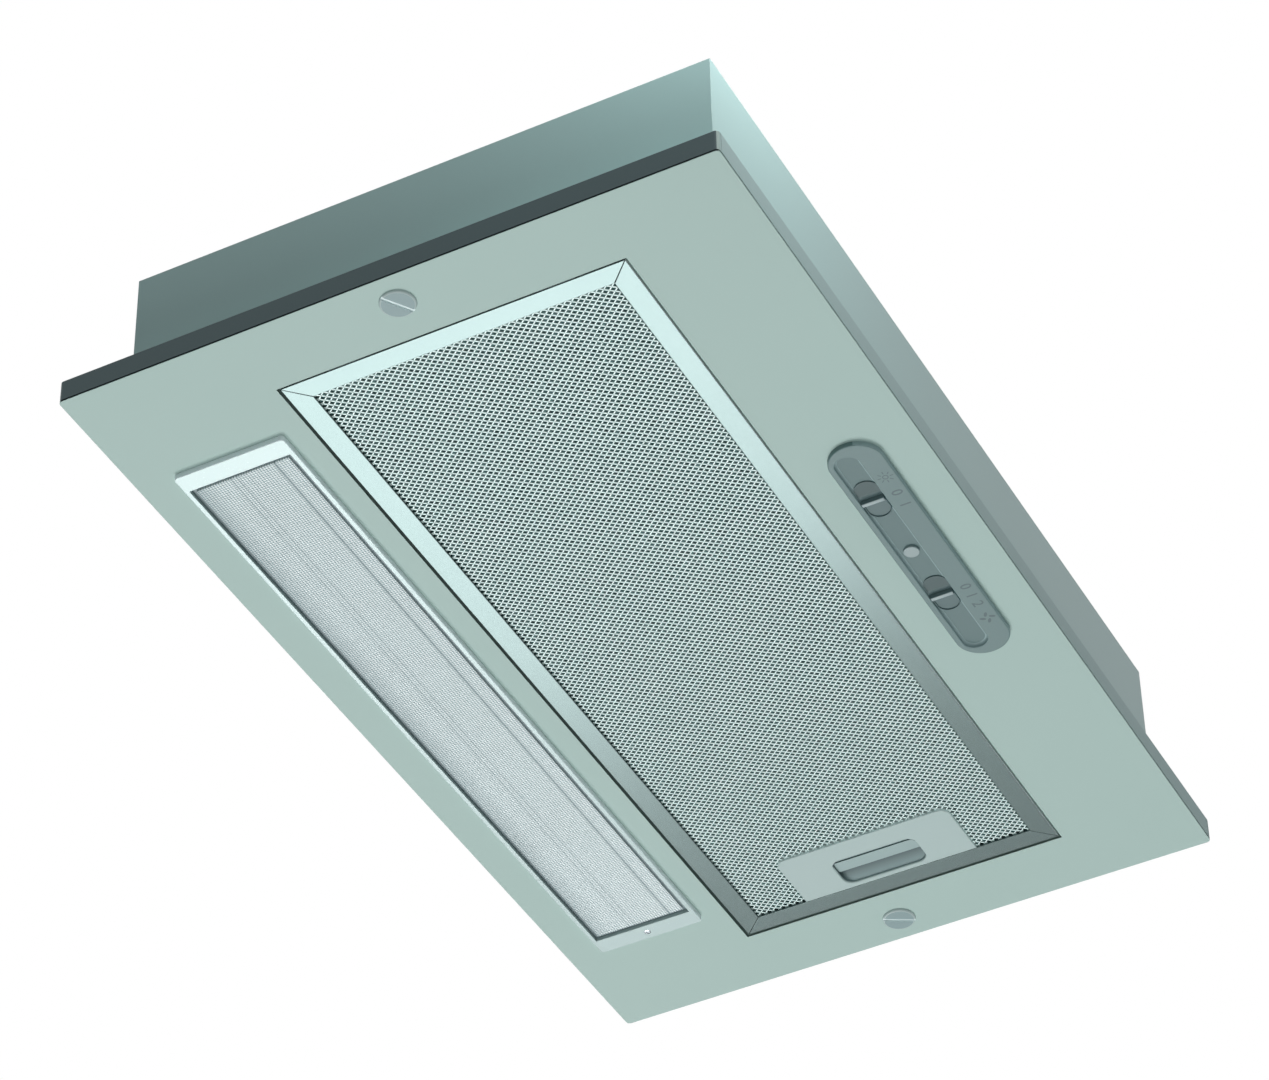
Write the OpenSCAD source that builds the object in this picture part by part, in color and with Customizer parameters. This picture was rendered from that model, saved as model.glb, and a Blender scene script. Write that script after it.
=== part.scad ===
/* [Faceplate] */
// Length of the faceplate, from end to end
plate_length = 520; // [480:1:600]
// Depth of the faceplate, from front to rear
plate_depth = 312.5; // [300:0.5:340]
// Height of the folded rim, from the outer face up to the cupboard
plate_height = 11.5; // [11:0.5:16]
// Radius of the rim's upright corners
plate_corner_r = 2; // [1.5:0.5:4]
// Thickness of the steel sheet
sheet = 0.8; // [0.6:0.1:1]

/* [Chassis] */
// Distance from the faceplate's end to the chassis box
box_margin = 29.5; // [25:0.5:33]
// Distance from the faceplate's front and rear edges to the chassis box
box_side_margin = 16.25; // [15:0.25:16.75]
// Height of the chassis box above the cupboard's underside
box_height = 77.5; // [70:0.5:95]
// Distance from the faceplate's end to the cupboard screws
screw_margin = 17; // [15:0.5:18]
// Distance between the cupboard screws from front to rear
screw_spacing_y = 200; // [140:5:240]
// Diameter of the holes for the cupboard screws
screw_hole_d = 4.5; // [4:0.5:5.5]

/* [Grease filter] */
// Distance from the faceplate's end to the filter
filter_margin = 38.3; // [38:0.1:42]
// Depth of the filter
filter_depth = 164; // [156:0.5:165]
// Height of the filter frame
filter_height = 9.6; // [9.2:0.2:11]
// Width of the frame's border
filter_border = 10.2; // [9:0.2:13]
// Place of the filter's middle, from front to rear
filter_y = -12; // [-13:0.5:-11]
// Step from the faceplate's face up to the filter's face
filter_recess = 0.4; // [0.2:0.1:0.8]
// Gap between the filter and its opening
filter_gap = 1.2; // [0.8:0.1:1.4]
// Length of the grip plate across the filter
handle_depth = 90; // [80:1:96]
// Width of the grip plate
handle_width = 35; // [33:0.5:40]
// Place of the grip plate's middle
handle_y = -11; // [-14:1:-8]
// Length of the finger pocket
pocket_depth = 43; // [38:1:46]
// Width of the finger pocket
pocket_width = 17; // [15:0.5:18]
// Travel of the latch
latch_travel = 4; // [3:0.5:5]

/* [Lamp] */
// Distance from the faceplate's end to the lamp cover
lamp_margin = 62.5; // [60:0.5:70]
// Depth of the lamp cover
lamp_depth = 54.8; // [52:0.2:56]
// Distance from the faceplate's rear edge to the lamp cover's middle
lamp_side_margin = 45.75; // [45:0.25:46.5]
// How far the lamp cover stands below the faceplate
lamp_proud = 2.5; // [2:0.1:3.5]
// Width of the lamp cover's end borders
lamp_end_border = 10; // [8:0.5:12]
// Width of the lamp cover's long borders
lamp_side_border = 2.2; // [2:0.1:2.6]
// Width of the groove round the lens
lens_groove = 2; // [1.6:0.1:2.4]
// Distance from the lamp cover's end to each bulb's middle
bulb_margin = 102.5; // [92:0.5:108]

/* [Controls] */
// Length of the control panel
bezel_length = 156; // [152:1:164]
// Width of the control panel
bezel_depth = 25.4; // [24:0.2:26]
// Distance from the faceplate's front edge to the control panel's middle
bezel_side_margin = 31.65; // [31:0.05:32.5]
// How far the control panel stands below the faceplate
bezel_proud = 2.5; // [2:0.1:3.5]
// Length of the sunken track
track_length = 144; // [140:1:147]
// Width of the sunken track
track_depth = 11.8; // [11:0.2:12.4]
// Distance from the control panel's middle to the sunken track's middle
track_shift = 4; // [3.4:0.1:4.4]
// Length of a slider's button
button_length = 24; // [20:0.5:25]
// Place of the light slider's ridge when off
light_x = -40.6; // [-44:0.2:-39]
// Travel of the light slider
light_travel = 9.5; // [8:0.5:11]
// Place of the speed slider's ridge when off
speed_x = 31; // [29:0.5:34]
// Travel of the speed slider over its three steps
speed_travel = 13; // [10:0.5:20]

/* [Knobs] */
// Distance from the faceplate's end to each quarter-turn knob's middle
knob_margin = 15.6; // [14:0.2:17]
// Diameter of the knob's head
knob_d = 16; // [15:0.5:17]
// Diameter of the knob's shank
knob_shank_d = 9; // [8:0.5:10]

/* [Blower] */
// Length of the blower cover
cover_length = 224; // [222:1:236]
// Depth of the blower cover
cover_depth = 168; // [164:1:176]
// Height of the blower cover
cover_height = 122.5; // [118:0.5:134]
// Diameter of the impeller
impeller_d = 116; // [108:1:118]
// Width of the impeller
impeller_width = 82; // [76:1:84]
// Number of impeller blades
blade_count = 34; // [24:1:40]
// Place of the blower's shaft along the hood
shaft_x = -27; // [-28:0.5:-25]
// Height of the blower's shaft above the cupboard's underside
shaft_z = 118; // [116:0.5:122]
// Outer width of the scroll
scroll_width = 90; // [90:1:94]
// Wall of the scroll
scroll_wall = 2; // [1.6:0.1:2.4]
// Diameter of the motor
motor_d = 72; // [66:1:76]
// Length of the motor
motor_length = 56; // [50:1:58]
// Diameter of the motor's shaft
shaft_d = 6; // [5:0.5:8]
// Outer diameter of the duct spigot
spigot_d = 120; // [110:1:125]
// Height of the duct spigot above the blower cover
spigot_height = 40; // [34:1:50]
// Wall of the duct spigot
spigot_wall = 2; // [1.6:0.1:2.6]

/* [Terminal box] */
// Length of the terminal box
terminal_length = 66; // [60:1:76]
// Depth of the terminal box
terminal_depth = 58; // [54:1:64]
// Height of the terminal box
terminal_height = 32; // [30:1:38]
// Diameter of the mains cable that the gland takes
cable_d = 9; // [7:0.5:10]

/* [Hidden] */
$fn = 48;

// Gaps: between fixed pieces that lie close, between pieces that slide, and round a turning shaft
seat_gap = 0.2;
slide_gap = 0.3;
running_gap = 0.05;
// A cut runs this far past the face that it opens
past = 1;

// The outer face of the faceplate and the top of its sheet, below the cupboard's underside at zero
face_z = -plate_height;
floor_z = face_z + sheet;
knob_x = plate_length / 2 - knob_margin;

// Flange of the chassis, inside the rim of the faceplate
flange_gap = 1.2;
flange_length = plate_length - 2 * (sheet + flange_gap);
flange_depth = plate_depth - 2 * (sheet + flange_gap);
box_length = plate_length - 2 * box_margin;
box_depth = plate_depth - 2 * box_side_margin;
box_top = box_height;
screw_spacing_x = plate_length - 2 * screw_margin;

// Filter and its opening
filter_length = plate_length - 2 * filter_margin;
filter_z = face_z + filter_recess;
filter_top = filter_z + filter_height;
opening_length = filter_length + 2 * filter_gap;
opening_depth = filter_depth + 2 * filter_gap;
opening_rim = 7;
filter_end = filter_length / 2;
window_length = filter_length - 2 * filter_border;
window_depth = filter_depth - 2 * filter_border;
handle_end = window_length / 2;
handle_x = handle_end - handle_width / 2;
handle_corner_r = 8;
handle_top = filter_z + 6.6;
handle_tongue = filter_border - sheet - slide_gap;
handle_tongue_sheet = 1.8;
handle_floor = 1.2;
pocket_edge = 4;
pocket_x = handle_end - pocket_edge - pocket_width / 2;
pocket_r = 5;
pocket_roof = 1.2;
pocket_lip = 0.8;
latch_bar = 8;
latch_bar_overlap = 1;
latch_bar_depth = pocket_depth + 2 * latch_bar_overlap;
latch_bar_rise = 1.6;
latch_sheet = 1.2;
latch_z = handle_top + slide_gap;
bolt_depth = 16;
bolt_height = 3.2;
bolt_reach = filter_gap + sheet + 2.4;
hook_depth = 18;
hook_offset = 50;
hook_sheet = 0.8;
hook_reach = filter_gap + sheet + 1.6;
hook_z = floor_z + 0.3;

// Lamp cover, lens and reflector
lamp_length = plate_length - 2 * lamp_margin;
lamp_y = plate_depth / 2 - lamp_side_margin;
lamp_face = face_z - lamp_proud;
lamp_window_length = lamp_length - 2 * lamp_end_border;
lamp_screw_x = lamp_length / 2 - lamp_end_border / 2;
lamp_window_depth = lamp_depth - 2 * lamp_side_border;
lamp_skirt = 1;
skirt_length = lamp_window_length + 2 * lamp_skirt;
skirt_depth = lamp_window_depth + 2 * lamp_skirt;
skirt_top = floor_z + 5;
lamp_hole_length = skirt_length + 2 * slide_gap;
lamp_hole_depth = skirt_depth + 2 * slide_gap;
lens_length = lamp_window_length - 2 * lens_groove;
lens_depth = lamp_window_depth - 2 * lens_groove;
lens_wall = 1.6;
lens_face = lamp_face + 0.6;
lens_rim_z = lens_face + 1.8;
lens_rim = 1.2;
lens_ledge = 2.6;
lens_ledge_sheet = 1.2;
lamp_corner_r = 2;
lamp_screw_d = 3;
lamp_screw_hole_d = 3.4;
lamp_screw_reach = 6;
reflector_length = lamp_hole_length + 1;
reflector_depth = lamp_hole_depth + 0.6;
reflector_sheet = 0.6;
reflector_height = 37;
reflector_foot = 10;
bulb_x = lamp_length / 2 - bulb_margin;
bulb_z = floor_z + 18;
bulb_d = 35;
bulb_length = 68;
bulb_base_d = 14;
bulb_base_length = 24;
holder_d = 24;
holder_length = 34;

// Control panel
bezel_y = -plate_depth / 2 + bezel_side_margin;
bezel_face = face_z - bezel_proud;
track_y = bezel_y + track_shift;
track_recess = 2;
track_floor = bezel_face + track_recess;
tub_length = track_length + 3;
tub_depth = track_depth + 3;
tub_stand = 0.8;
tub_top = floor_z + tub_stand;
button_depth = track_depth - 2 * slide_gap;
button_recess = 0.5;
button_face = bezel_face + button_recess;
ridge_proud = 1;
ridge_width = 2.2;
scoop_length = (button_length - ridge_width) / 2;
scoop_rim = 0.3;
scoop_depth = 0.8;
scoop_slope = 6;
stem_length = 6;
stem_depth = 4;
stem_shift = -4;
stem_top = tub_top + 5;
switch_length = 46;
switch_depth = 17;
switch_height = 15;
pin_x = -1;
pin_d = 7.3;
pin_height = 1.2;
pin_edge = 0.4;

// Quarter-turn knobs and the brackets that hold them
knob_head = 1.2;
knob_bar_length = 14;
knob_bar_width = 4;
knob_bar_height = 1.8;
knob_slot_angle = [-33, -60];
receiver_length = 20;
receiver_depth = 30;
receiver_z = face_z + 5.6;

// Blower
cover_top = box_top + cover_height;
cover_flange = 10;
top_opening_margin = 8;
top_opening_length = cover_length - 2 * top_opening_margin;
top_opening_depth = cover_depth - 2 * top_opening_margin;
tapping_screw_d = 3.9;
tapping_hole_d = 4;
scroll_gap = 4;
scroll_start = impeller_d / 2 + scroll_gap;
scroll_growth = 26;
scroll_end = scroll_start + scroll_growth;
tongue_angle = 290;
scroll_steps = 29;
outlet_top = cover_top - sheet - slide_gap;
outlet_length = 86;
outlet_x = shaft_x + scroll_end - outlet_length / 2;
inlet_lip = 8;
inlet_d = impeller_d - 2 * inlet_lip;
inlet_ring_r = 3;
blade_inner_r = impeller_d / 2 - 11;
blade_steps = 5;
blade_sheet = 1;
blade_lead = 9;
hub_d = 22;
motor_gap = 8;
bracket_y = motor_gap + motor_length;
bracket_sheet = 1.6;
bracket_reach = 12;
bracket_r = inlet_d / 2 + bracket_reach;
bracket_disc_d = 44;
bracket_arm = 12;
bracket_bore_d = 12;
motor_screw_d = 3;
motor_screw_hole_d = 4;
grommet_length = 4;
grommet_d = 13;
bracket_angles = [30, 150, 270];
spigot_flange = 15;
spigot_flange_d = spigot_d + 2 * spigot_flange;
spigot_flange_sheet = 2.5;
damper_z = cover_top + 12;
damper_pin_d = 3;
flap_sheet = 1.2;
flap_r = spigot_d / 2 - spigot_wall - 1.2;
knuckle_d = 5.6;
knuckle_count = 4;
knuckle_span = 2 * flap_r - 10;

// Terminal box
terminal_edge = 32.5;
terminal_x = -box_length / 2 + terminal_edge + terminal_length / 2;
terminal_y = 62;
terminal_wall = 2;
terminal_post = 5;
terminal_post_d = 8.4;
terminal_screw_d = 3;
terminal_screw_length = 10;
terminal_screw_hole_d = 3.6;
terminal_cover_sheet = 2;
terminal_bush_d = 14;
terminal_wire_d = 12;
strip_length = 34;
strip_size = 12;
strip_y = -8;
clamp_pitch = 10;
clamp_d = 5;
gland_nut = 5;
gland_nut_d = 20;
gland_d = 17;
gland_length = 14;
capacitor_d = 30;
capacitor_length = 52;

// A flat plate with rounded corners, standing on z = 0
module rounded_plate(length, depth, height, r) {
    linear_extrude(height)
        union() {
            square([length - 2 * r, depth], center = true);
            square([length, depth - 2 * r], center = true);
            for (x = [-1, 1], y = [-1, 1])
                translate([x * (length / 2 - r), y * (depth / 2 - r)]) circle(r);
        }
}

// A plate with round ends, standing on z = 0
module stadium(length, depth, height) {
    linear_extrude(height)
        union() {
            square([length - depth, depth], center = true);
            for (x = [-1, 1]) translate([x * (length - depth) / 2, 0]) circle(depth / 2);
        }
}

// A block standing on z = 0, centred on the other two axes
module block(length, depth, height) {
    translate([-length / 2, -depth / 2, 0]) cube([length, depth, height]);
}

// A round bar along +Y from the origin
module bar_y(d, length) {
    rotate([-90, 0, 0]) cylinder(d = d, h = length);
}

// A pan-head screw whose head lies under z = 0 and whose shank points up
module screw_up(d, length) {
    cylinder(d = d, h = length);
    translate([0, 0, -d * 0.55]) cylinder(d = d * 2, h = d * 0.55);
}

module screw_down(d, length) {
    mirror([0, 0, 1]) screw_up(d, length);
}

// The folded tray that closes the hood from below
module faceplate() {
    color([0.66, 0.72, 0.71])
    difference() {
        union() {
            difference() {
                translate([0, 0, face_z])
                    rounded_plate(plate_length, plate_depth, plate_height, plate_corner_r);
                translate([0, 0, floor_z])
                    rounded_plate(plate_length - 2 * sheet, plate_depth - 2 * sheet,
                        plate_height, plate_corner_r - sheet);
            }
            translate([0, filter_y, face_z])
                block(opening_length + 2 * sheet, opening_depth + 2 * sheet, sheet + opening_rim);
        }
        translate([0, filter_y, face_z - past])
            block(opening_length, opening_depth, plate_height + 2 * past);
        // Slot for the bolt of the latch
        translate([filter_end + filter_gap + sheet / 2, handle_y, latch_z - bolt_height - slide_gap])
            block(3 * sheet, bolt_depth + 2 * slide_gap, plate_height);
        // Slots for the hooks
        for (y = [-1, 1])
            translate([-filter_end - filter_gap - sheet / 2, filter_y + y * hook_offset, floor_z])
                block(sheet + 0.4, hook_depth + 2, hook_reach + 1.4);
        translate([0, lamp_y, face_z - past])
            block(lamp_hole_length, lamp_hole_depth, sheet + 2 * past);
        translate([0, track_y, face_z - past])
            stadium(tub_length + 2 * slide_gap, tub_depth + 2 * slide_gap, sheet + 2 * past);
        for (x = [-1, 1])
            translate([x * knob_x, 0, face_z - past])
                cylinder(d = knob_shank_d + 2 * slide_gap, h = sheet + 2 * past);
        translate([lamp_screw_x, lamp_y, face_z - past])
            cylinder(d = lamp_screw_hole_d, h = sheet + 2 * past);
    }
}

// The box of sheet steel, whose flange bears on the cupboard's underside
module chassis() {
    color([0.72, 0.77, 0.76])
    difference() {
        union() {
            block(box_length, box_depth, box_top);
            translate([0, 0, -sheet])
                rounded_plate(flange_length, flange_depth, sheet, plate_corner_r);
        }
        translate([0, 0, -past - sheet])
            block(box_length - 2 * sheet, box_depth - 2 * sheet, box_top + past);
        translate([0, 0, box_top - 2 * sheet])
            block(top_opening_length, top_opening_depth, 4 * sheet);
        for (x = [-1, 1], y = [-1, 1])
            translate([x * screw_spacing_x / 2, y * screw_spacing_y / 2, -sheet - past])
                cylinder(d = screw_hole_d, h = sheet + 2 * past);
        translate([terminal_x, terminal_y, box_top - 2 * sheet])
            cylinder(d = terminal_bush_d, h = 4 * sheet);
    }
}

// One bracket under each end of the flange, with the keyhole for a quarter-turn knob
module knob_receivers() {
    color([0.72, 0.77, 0.76])
    for (x = [-1, 1]) {
        leg_height = -sheet - receiver_z;
        translate([x * knob_x, 0, receiver_z])
            difference() {
                union() {
                    block(receiver_length, receiver_depth, sheet);
                    for (y = [-1, 1])
                        translate([0, y * (receiver_depth - sheet) / 2, 0])
                            block(receiver_length, sheet, leg_height);
                }
                translate([0, 0, -past])
                    cylinder(d = knob_shank_d + 2 * slide_gap, h = sheet + 2 * past);
                translate([0, 0, -past])
                    block(knob_bar_width + 4 * slide_gap, knob_bar_length + 4 * slide_gap,
                        sheet + 2 * past);
            }
    }
}

// A quarter-turn knob with its screwdriver slot and its cross bar
module quarter_turn_knob(side, slot_angle) {
    bar_z = receiver_z + sheet + slide_gap;
    color([0.62, 0.68, 0.68])
    translate([side * knob_x, 0, 0])
    rotate([0, 0, slot_angle]) {
        difference() {
            translate([0, 0, face_z - knob_head]) cylinder(d = knob_d, h = knob_head);
            translate([0, 0, face_z - knob_head - past]) block(knob_d * 0.8, 2, past + 0.8);
        }
        translate([0, 0, face_z]) cylinder(d = knob_shank_d, h = bar_z - face_z);
        translate([0, 0, bar_z]) block(knob_bar_length, knob_bar_width, knob_bar_height);
    }
}

module knob_left() {
    quarter_turn_knob(-1, knob_slot_angle[0]);
}

module knob_right() {
    quarter_turn_knob(1, knob_slot_angle[1]);
}

// The channel frame round the filter mesh
module filter_frame() {
    color([0.80, 0.83, 0.82])
    translate([0, filter_y, filter_z])
    difference() {
        block(filter_length, filter_depth, filter_height);
        translate([0, 0, -past]) block(window_length, window_depth, filter_height + 2 * past);
        translate([0, 0, sheet])
            block(filter_length - 2 * sheet, filter_depth - 2 * sheet, filter_height - 2 * sheet);
        translate([filter_end, handle_y - filter_y, latch_z - bolt_height - slide_gap - filter_z])
            block(4 * sheet, bolt_depth + 2 * slide_gap, bolt_height + latch_sheet + 2 * slide_gap);
    }
}

// The pack of expanded mesh, held in the channel and cut out round the grip plate
module filter_mesh() {
    color([0.70, 0.73, 0.73])
    difference() {
        translate([0, filter_y, filter_z + sheet])
            block(filter_length - 2 * (sheet + seat_gap), filter_depth - 2 * (sheet + seat_gap),
                filter_height - 2 * sheet);
        translate([handle_x + filter_border / 2, handle_y, filter_z - past])
            block(handle_width + filter_border + 2 * seat_gap, handle_depth + 2 * seat_gap,
                filter_height + 2 * past);
    }
}

// Two hooks on the left end, which hang the filter in the faceplate
module filter_hooks() {
    color([0.75, 0.78, 0.78])
    for (y = [-1, 1])
        translate([-filter_end, filter_y + y * hook_offset, hook_z]) {
            translate([-hook_reach, -hook_depth / 2, 0])
                cube([hook_reach, hook_depth, hook_sheet]);
            translate([-hook_sheet, -hook_depth / 2, 0])
                cube([hook_sheet, hook_depth, filter_top - hook_z - 1]);
        }
}

// The grip plate, with the finger pocket that slopes down to the latch, and the latch's room
module filter_handle() {
    room_x = pocket_x - pocket_width / 2;
    pocket_top = handle_top - filter_z - pocket_roof;
    color([0.66, 0.72, 0.72])
    difference() {
        union() {
            translate([handle_x, handle_y, filter_z])
                rounded_plate(handle_width, handle_depth, handle_top - filter_z, handle_corner_r);
            translate([handle_x, handle_y - handle_depth / 2, filter_z])
                cube([handle_width / 2, handle_depth, handle_top - filter_z]);
            translate([handle_end, handle_y - handle_depth / 2 + 2, filter_z + sheet])
                cube([handle_tongue, handle_depth - 4, handle_tongue_sheet]);
        }
        intersection() {
            translate([pocket_x, handle_y, filter_z - past])
                rounded_plate(pocket_width, pocket_depth, pocket_top + past, pocket_r);
            translate([room_x, handle_y + pocket_depth, filter_z])
                rotate([90, 0, 0])
                linear_extrude(2 * pocket_depth)
                polygon([
                    [-past, -2 * past],
                    [pocket_width + past, -2 * past],
                    [pocket_width + past, pocket_lip],
                    [latch_bar + slide_gap, pocket_top],
                    [-past, pocket_top]
                ]);
        }
        translate([room_x - latch_travel - slide_gap, handle_y - latch_bar_depth / 2 - slide_gap,
            filter_z + handle_floor])
            cube([latch_travel + latch_bar + 2 * slide_gap, latch_bar_depth + 2 * slide_gap,
                handle_top - filter_z]);
    }
}

// The sliding latch: a finger bar in the pocket, a plate over the grip and the bolt
module filter_latch() {
    bar_x = pocket_x - pocket_width / 2;
    color([0.76, 0.80, 0.79]) {
        translate([bar_x, handle_y - latch_bar_depth / 2, filter_z + latch_bar_rise])
            cube([latch_bar, latch_bar_depth, latch_z - filter_z - latch_bar_rise]);
        translate([bar_x, handle_y - latch_bar_depth / 2, latch_z])
            cube([handle_end + latch_travel + 2 - bar_x, latch_bar_depth, latch_sheet]);
        translate([handle_end + latch_travel + slide_gap, handle_y - bolt_depth / 2,
            latch_z - bolt_height])
            cube([filter_end + bolt_reach - handle_end - latch_travel - slide_gap, bolt_depth,
                bolt_height + latch_sheet]);
    }
}

// The frame of the lamp cover, with the skirt that enters the faceplate
module lamp_cover_frame() {
    ledge_z = lens_rim_z + lens_rim + seat_gap;
    color([0.88, 0.90, 0.89])
    translate([0, lamp_y, 0])
    difference() {
        union() {
            translate([0, 0, lamp_face])
                rounded_plate(lamp_length, lamp_depth, lamp_proud, lamp_corner_r);
            translate([0, 0, face_z]) block(skirt_length, skirt_depth, skirt_top - face_z);
        }
        translate([0, 0, lamp_face - past])
            block(lamp_window_length, lamp_window_depth, ledge_z - lamp_face + past);
        translate([0, 0, lamp_face])
            block(lamp_window_length - 2 * lens_ledge, lamp_window_depth - 2 * lens_ledge,
                plate_height);
        translate([0, 0, ledge_z + lens_ledge_sheet])
            block(lamp_window_length, lamp_window_depth, plate_height);
        translate([lamp_screw_x, 0, lamp_face - past])
            cylinder(d = lamp_screw_hole_d, h = lamp_proud + 2 * past);
    }
}

// The prismatic lens, a shallow tray with a rim behind it
module lamp_lens() {
    color([0.86, 0.88, 0.88, 0.9])
    translate([0, lamp_y, 0])
    difference() {
        union() {
            translate([0, 0, lens_face]) rounded_plate(lens_length, lens_depth,
                lens_rim_z - lens_face + lens_rim, 1.5);
            translate([0, 0, lens_rim_z])
                block(lamp_window_length - 2 * seat_gap, lamp_window_depth - 2 * seat_gap, lens_rim);
        }
        translate([0, 0, lens_face + lens_wall])
            block(lens_length - 2 * lens_wall, lens_depth - 2 * lens_wall, plate_height);
    }
}

// The screw that holds the right end of the lamp cover
module lamp_cover_screw() {
    color([0.75, 0.77, 0.78])
    translate([lamp_screw_x, lamp_y, lamp_face])
        screw_up(lamp_screw_d, lamp_proud + lamp_screw_reach);
}

// The bright trough over the bulbs
module lamp_reflector() {
    color([0.90, 0.91, 0.90])
    translate([0, lamp_y, floor_z])
    difference() {
        union() {
            block(reflector_length + 2 * reflector_sheet, reflector_depth + 2 * reflector_sheet,
                reflector_height);
            block(reflector_length + 2 * reflector_foot, 24, reflector_sheet);
        }
        translate([0, 0, -past])
            block(reflector_length, reflector_depth, reflector_height - reflector_sheet + past);
        translate([lamp_screw_x, 0, -past]) cylinder(d = lamp_screw_hole_d, h = 3 * past);
    }
}

// The screws through the reflector's top into the chassis side
module reflector_screws() {
    color([0.75, 0.77, 0.78])
    for (x = [-1, 1])
        translate([x * (reflector_length / 2 + reflector_foot - 3.2), lamp_y + 7,
            floor_z + reflector_sheet])
            mirror([0, 0, 1]) translate([0, 0, -1]) cylinder(d = 5, h = 1);
}

// One lampholder, with its open mouth towards the hood's middle
module lampholder(side) {
    mouth_x = bulb_x + bulb_length / 2 + 2;
    foot_height = floor_z + reflector_height - reflector_sheet - bulb_z;
    color([0.92, 0.92, 0.88])
    translate([side * mouth_x, lamp_y, bulb_z])
    difference() {
        union() {
            rotate([0, side * 90, 0]) cylinder(d = holder_d, h = holder_length);
            translate([side * (holder_length - 6), 0, 0]) block(8, holder_d - 6, foot_height);
            translate([side * (holder_length - 10), 0, foot_height - 1.5])
                block(20, holder_d - 6, 1.5);
        }
        translate([-side * past, 0, 0])
            rotate([0, side * 90, 0])
            cylinder(d = bulb_base_d + 2 * slide_gap, h = bulb_base_length + 2 + past);
    }
}

module lampholder_left() {
    lampholder(-1);
}

module lampholder_right() {
    lampholder(1);
}

// One candle bulb, with its screw base towards the end of the hood
module bulb(side) {
    color([0.95, 0.93, 0.85])
    translate([side * bulb_x, lamp_y, bulb_z])
    rotate([0, side * 90, 0])
    rotate_extrude() {
        polygon(concat(
            [[0, -bulb_length / 2]],
            [for (i = [1:12]) let (t = i / 12)
                [bulb_d / 2 * sin(180 * pow(t, 0.8)) * (1 - 0.25 * t) + bulb_base_d / 2 * t * t * 0.8,
                    -bulb_length / 2 + bulb_length * t]],
            [[bulb_base_d / 2, bulb_length / 2 + 2],
             [bulb_base_d / 2, bulb_length / 2 + bulb_base_length],
             [0, bulb_length / 2 + bulb_base_length + 3.5]]
        ));
    }
}

module bulb_left() {
    bulb(-1);
}

module bulb_right() {
    bulb(1);
}

// The control panel: a long oval with a sunken track and a tub behind it
module control_bezel() {
    color([0.50, 0.58, 0.59])
    difference() {
        union() {
            translate([0, bezel_y, bezel_face]) stadium(bezel_length, bezel_depth, bezel_proud);
            translate([0, track_y, face_z]) stadium(tub_length, tub_depth, tub_top - face_z);
        }
        translate([0, track_y, bezel_face - past])
            stadium(track_length, track_depth, track_floor - bezel_face + past);
        translate([light_x + stem_shift + light_travel / 2, track_y, bezel_face])
            block(stem_length + light_travel + 2 * slide_gap, stem_depth + 2 * slide_gap,
                plate_height);
        translate([speed_x + stem_shift + speed_travel / 2, track_y, bezel_face])
            block(stem_length + speed_travel + 2 * slide_gap, stem_depth + 2 * slide_gap,
                plate_height);
    }
}

// The round pin in the middle of the track
module control_pin() {
    color([0.50, 0.58, 0.59])
    translate([pin_x, track_y, track_floor]) {
        translate([0, 0, pin_edge - pin_height]) cylinder(d = pin_d, h = pin_height - pin_edge);
        translate([0, 0, -pin_height])
            cylinder(d1 = pin_d - 2 * pin_edge, d2 = pin_d, h = pin_edge);
    }
}

// A slider button with its finger ridge, the scoop that slopes down to the ridge, and its stem
module slider(x) {
    color([0.56, 0.64, 0.65])
    translate([x, track_y, 0])
    difference() {
        union() {
            translate([0, 0, button_face])
                stadium(button_length, button_depth, track_floor - slide_gap - button_face);
            translate([0, 0, bezel_face - ridge_proud])
                block(ridge_width, button_depth, button_face - bezel_face + ridge_proud);
            translate([stem_shift, 0, track_floor - slide_gap])
                block(stem_length, stem_depth, stem_top - track_floor + slide_gap);
        }
        translate([-ridge_width / 2, track_depth, button_face])
            rotate([90, 0, 0])
            linear_extrude(2 * track_depth)
            polygon([
                [-scoop_length - past, -past],
                [0, -past],
                [0, scoop_depth],
                [scoop_slope - scoop_length, scoop_depth],
                [-scoop_length, scoop_rim],
                [-scoop_length - past, scoop_rim]
            ]);
    }
}

module light_slider() {
    slider(light_x);
}

module speed_slider() {
    slider(speed_x);
}

// A slide switch behind the control panel, open below for the slider's stem
module slide_switch(x, travel) {
    color([0.30, 0.30, 0.31])
    translate([x + stem_shift + travel / 2, track_y, tub_top])
    difference() {
        union() {
            block(switch_length, switch_depth, switch_height);
            for (i = [-1, 0, 1])
                translate([i * switch_length / 3, 0, switch_height]) block(6, 0.8, 7);
        }
        translate([0, 0, -past])
            block(stem_length + travel + 2 * slide_gap, stem_depth + 2 * slide_gap,
                stem_top - tub_top + 1 + past);
    }
}

module light_switch() {
    slide_switch(light_x, light_travel);
}

module speed_switch() {
    slide_switch(speed_x, speed_travel);
}

// The sheet cover of the blower, on the top of the chassis
module blower_cover() {
    color([0.72, 0.77, 0.76])
    difference() {
        union() {
            translate([0, 0, box_top])
                block(cover_length, cover_depth, cover_height);
            translate([0, 0, box_top])
                block(cover_length + 2 * cover_flange, cover_depth + 2 * cover_flange, sheet);
        }
        translate([0, 0, box_top - past])
            block(cover_length - 2 * sheet, cover_depth - 2 * sheet, cover_height - sheet + past);
        translate([outlet_x, 0, cover_top - 2 * sheet])
            cylinder(d = spigot_d - 2 * spigot_wall, h = 4 * sheet);
        for (p = cover_screw_points())
            translate([p[0], p[1], box_top - past])
                cylinder(d = tapping_hole_d, h = sheet + 2 * past);
    }
}

function cover_screw_points() = [
    for (x = [-1, 0, 1], y = [-1, 1])
        [x * (cover_length / 2 - 15), y * (cover_depth + cover_flange) / 2]
];

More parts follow.
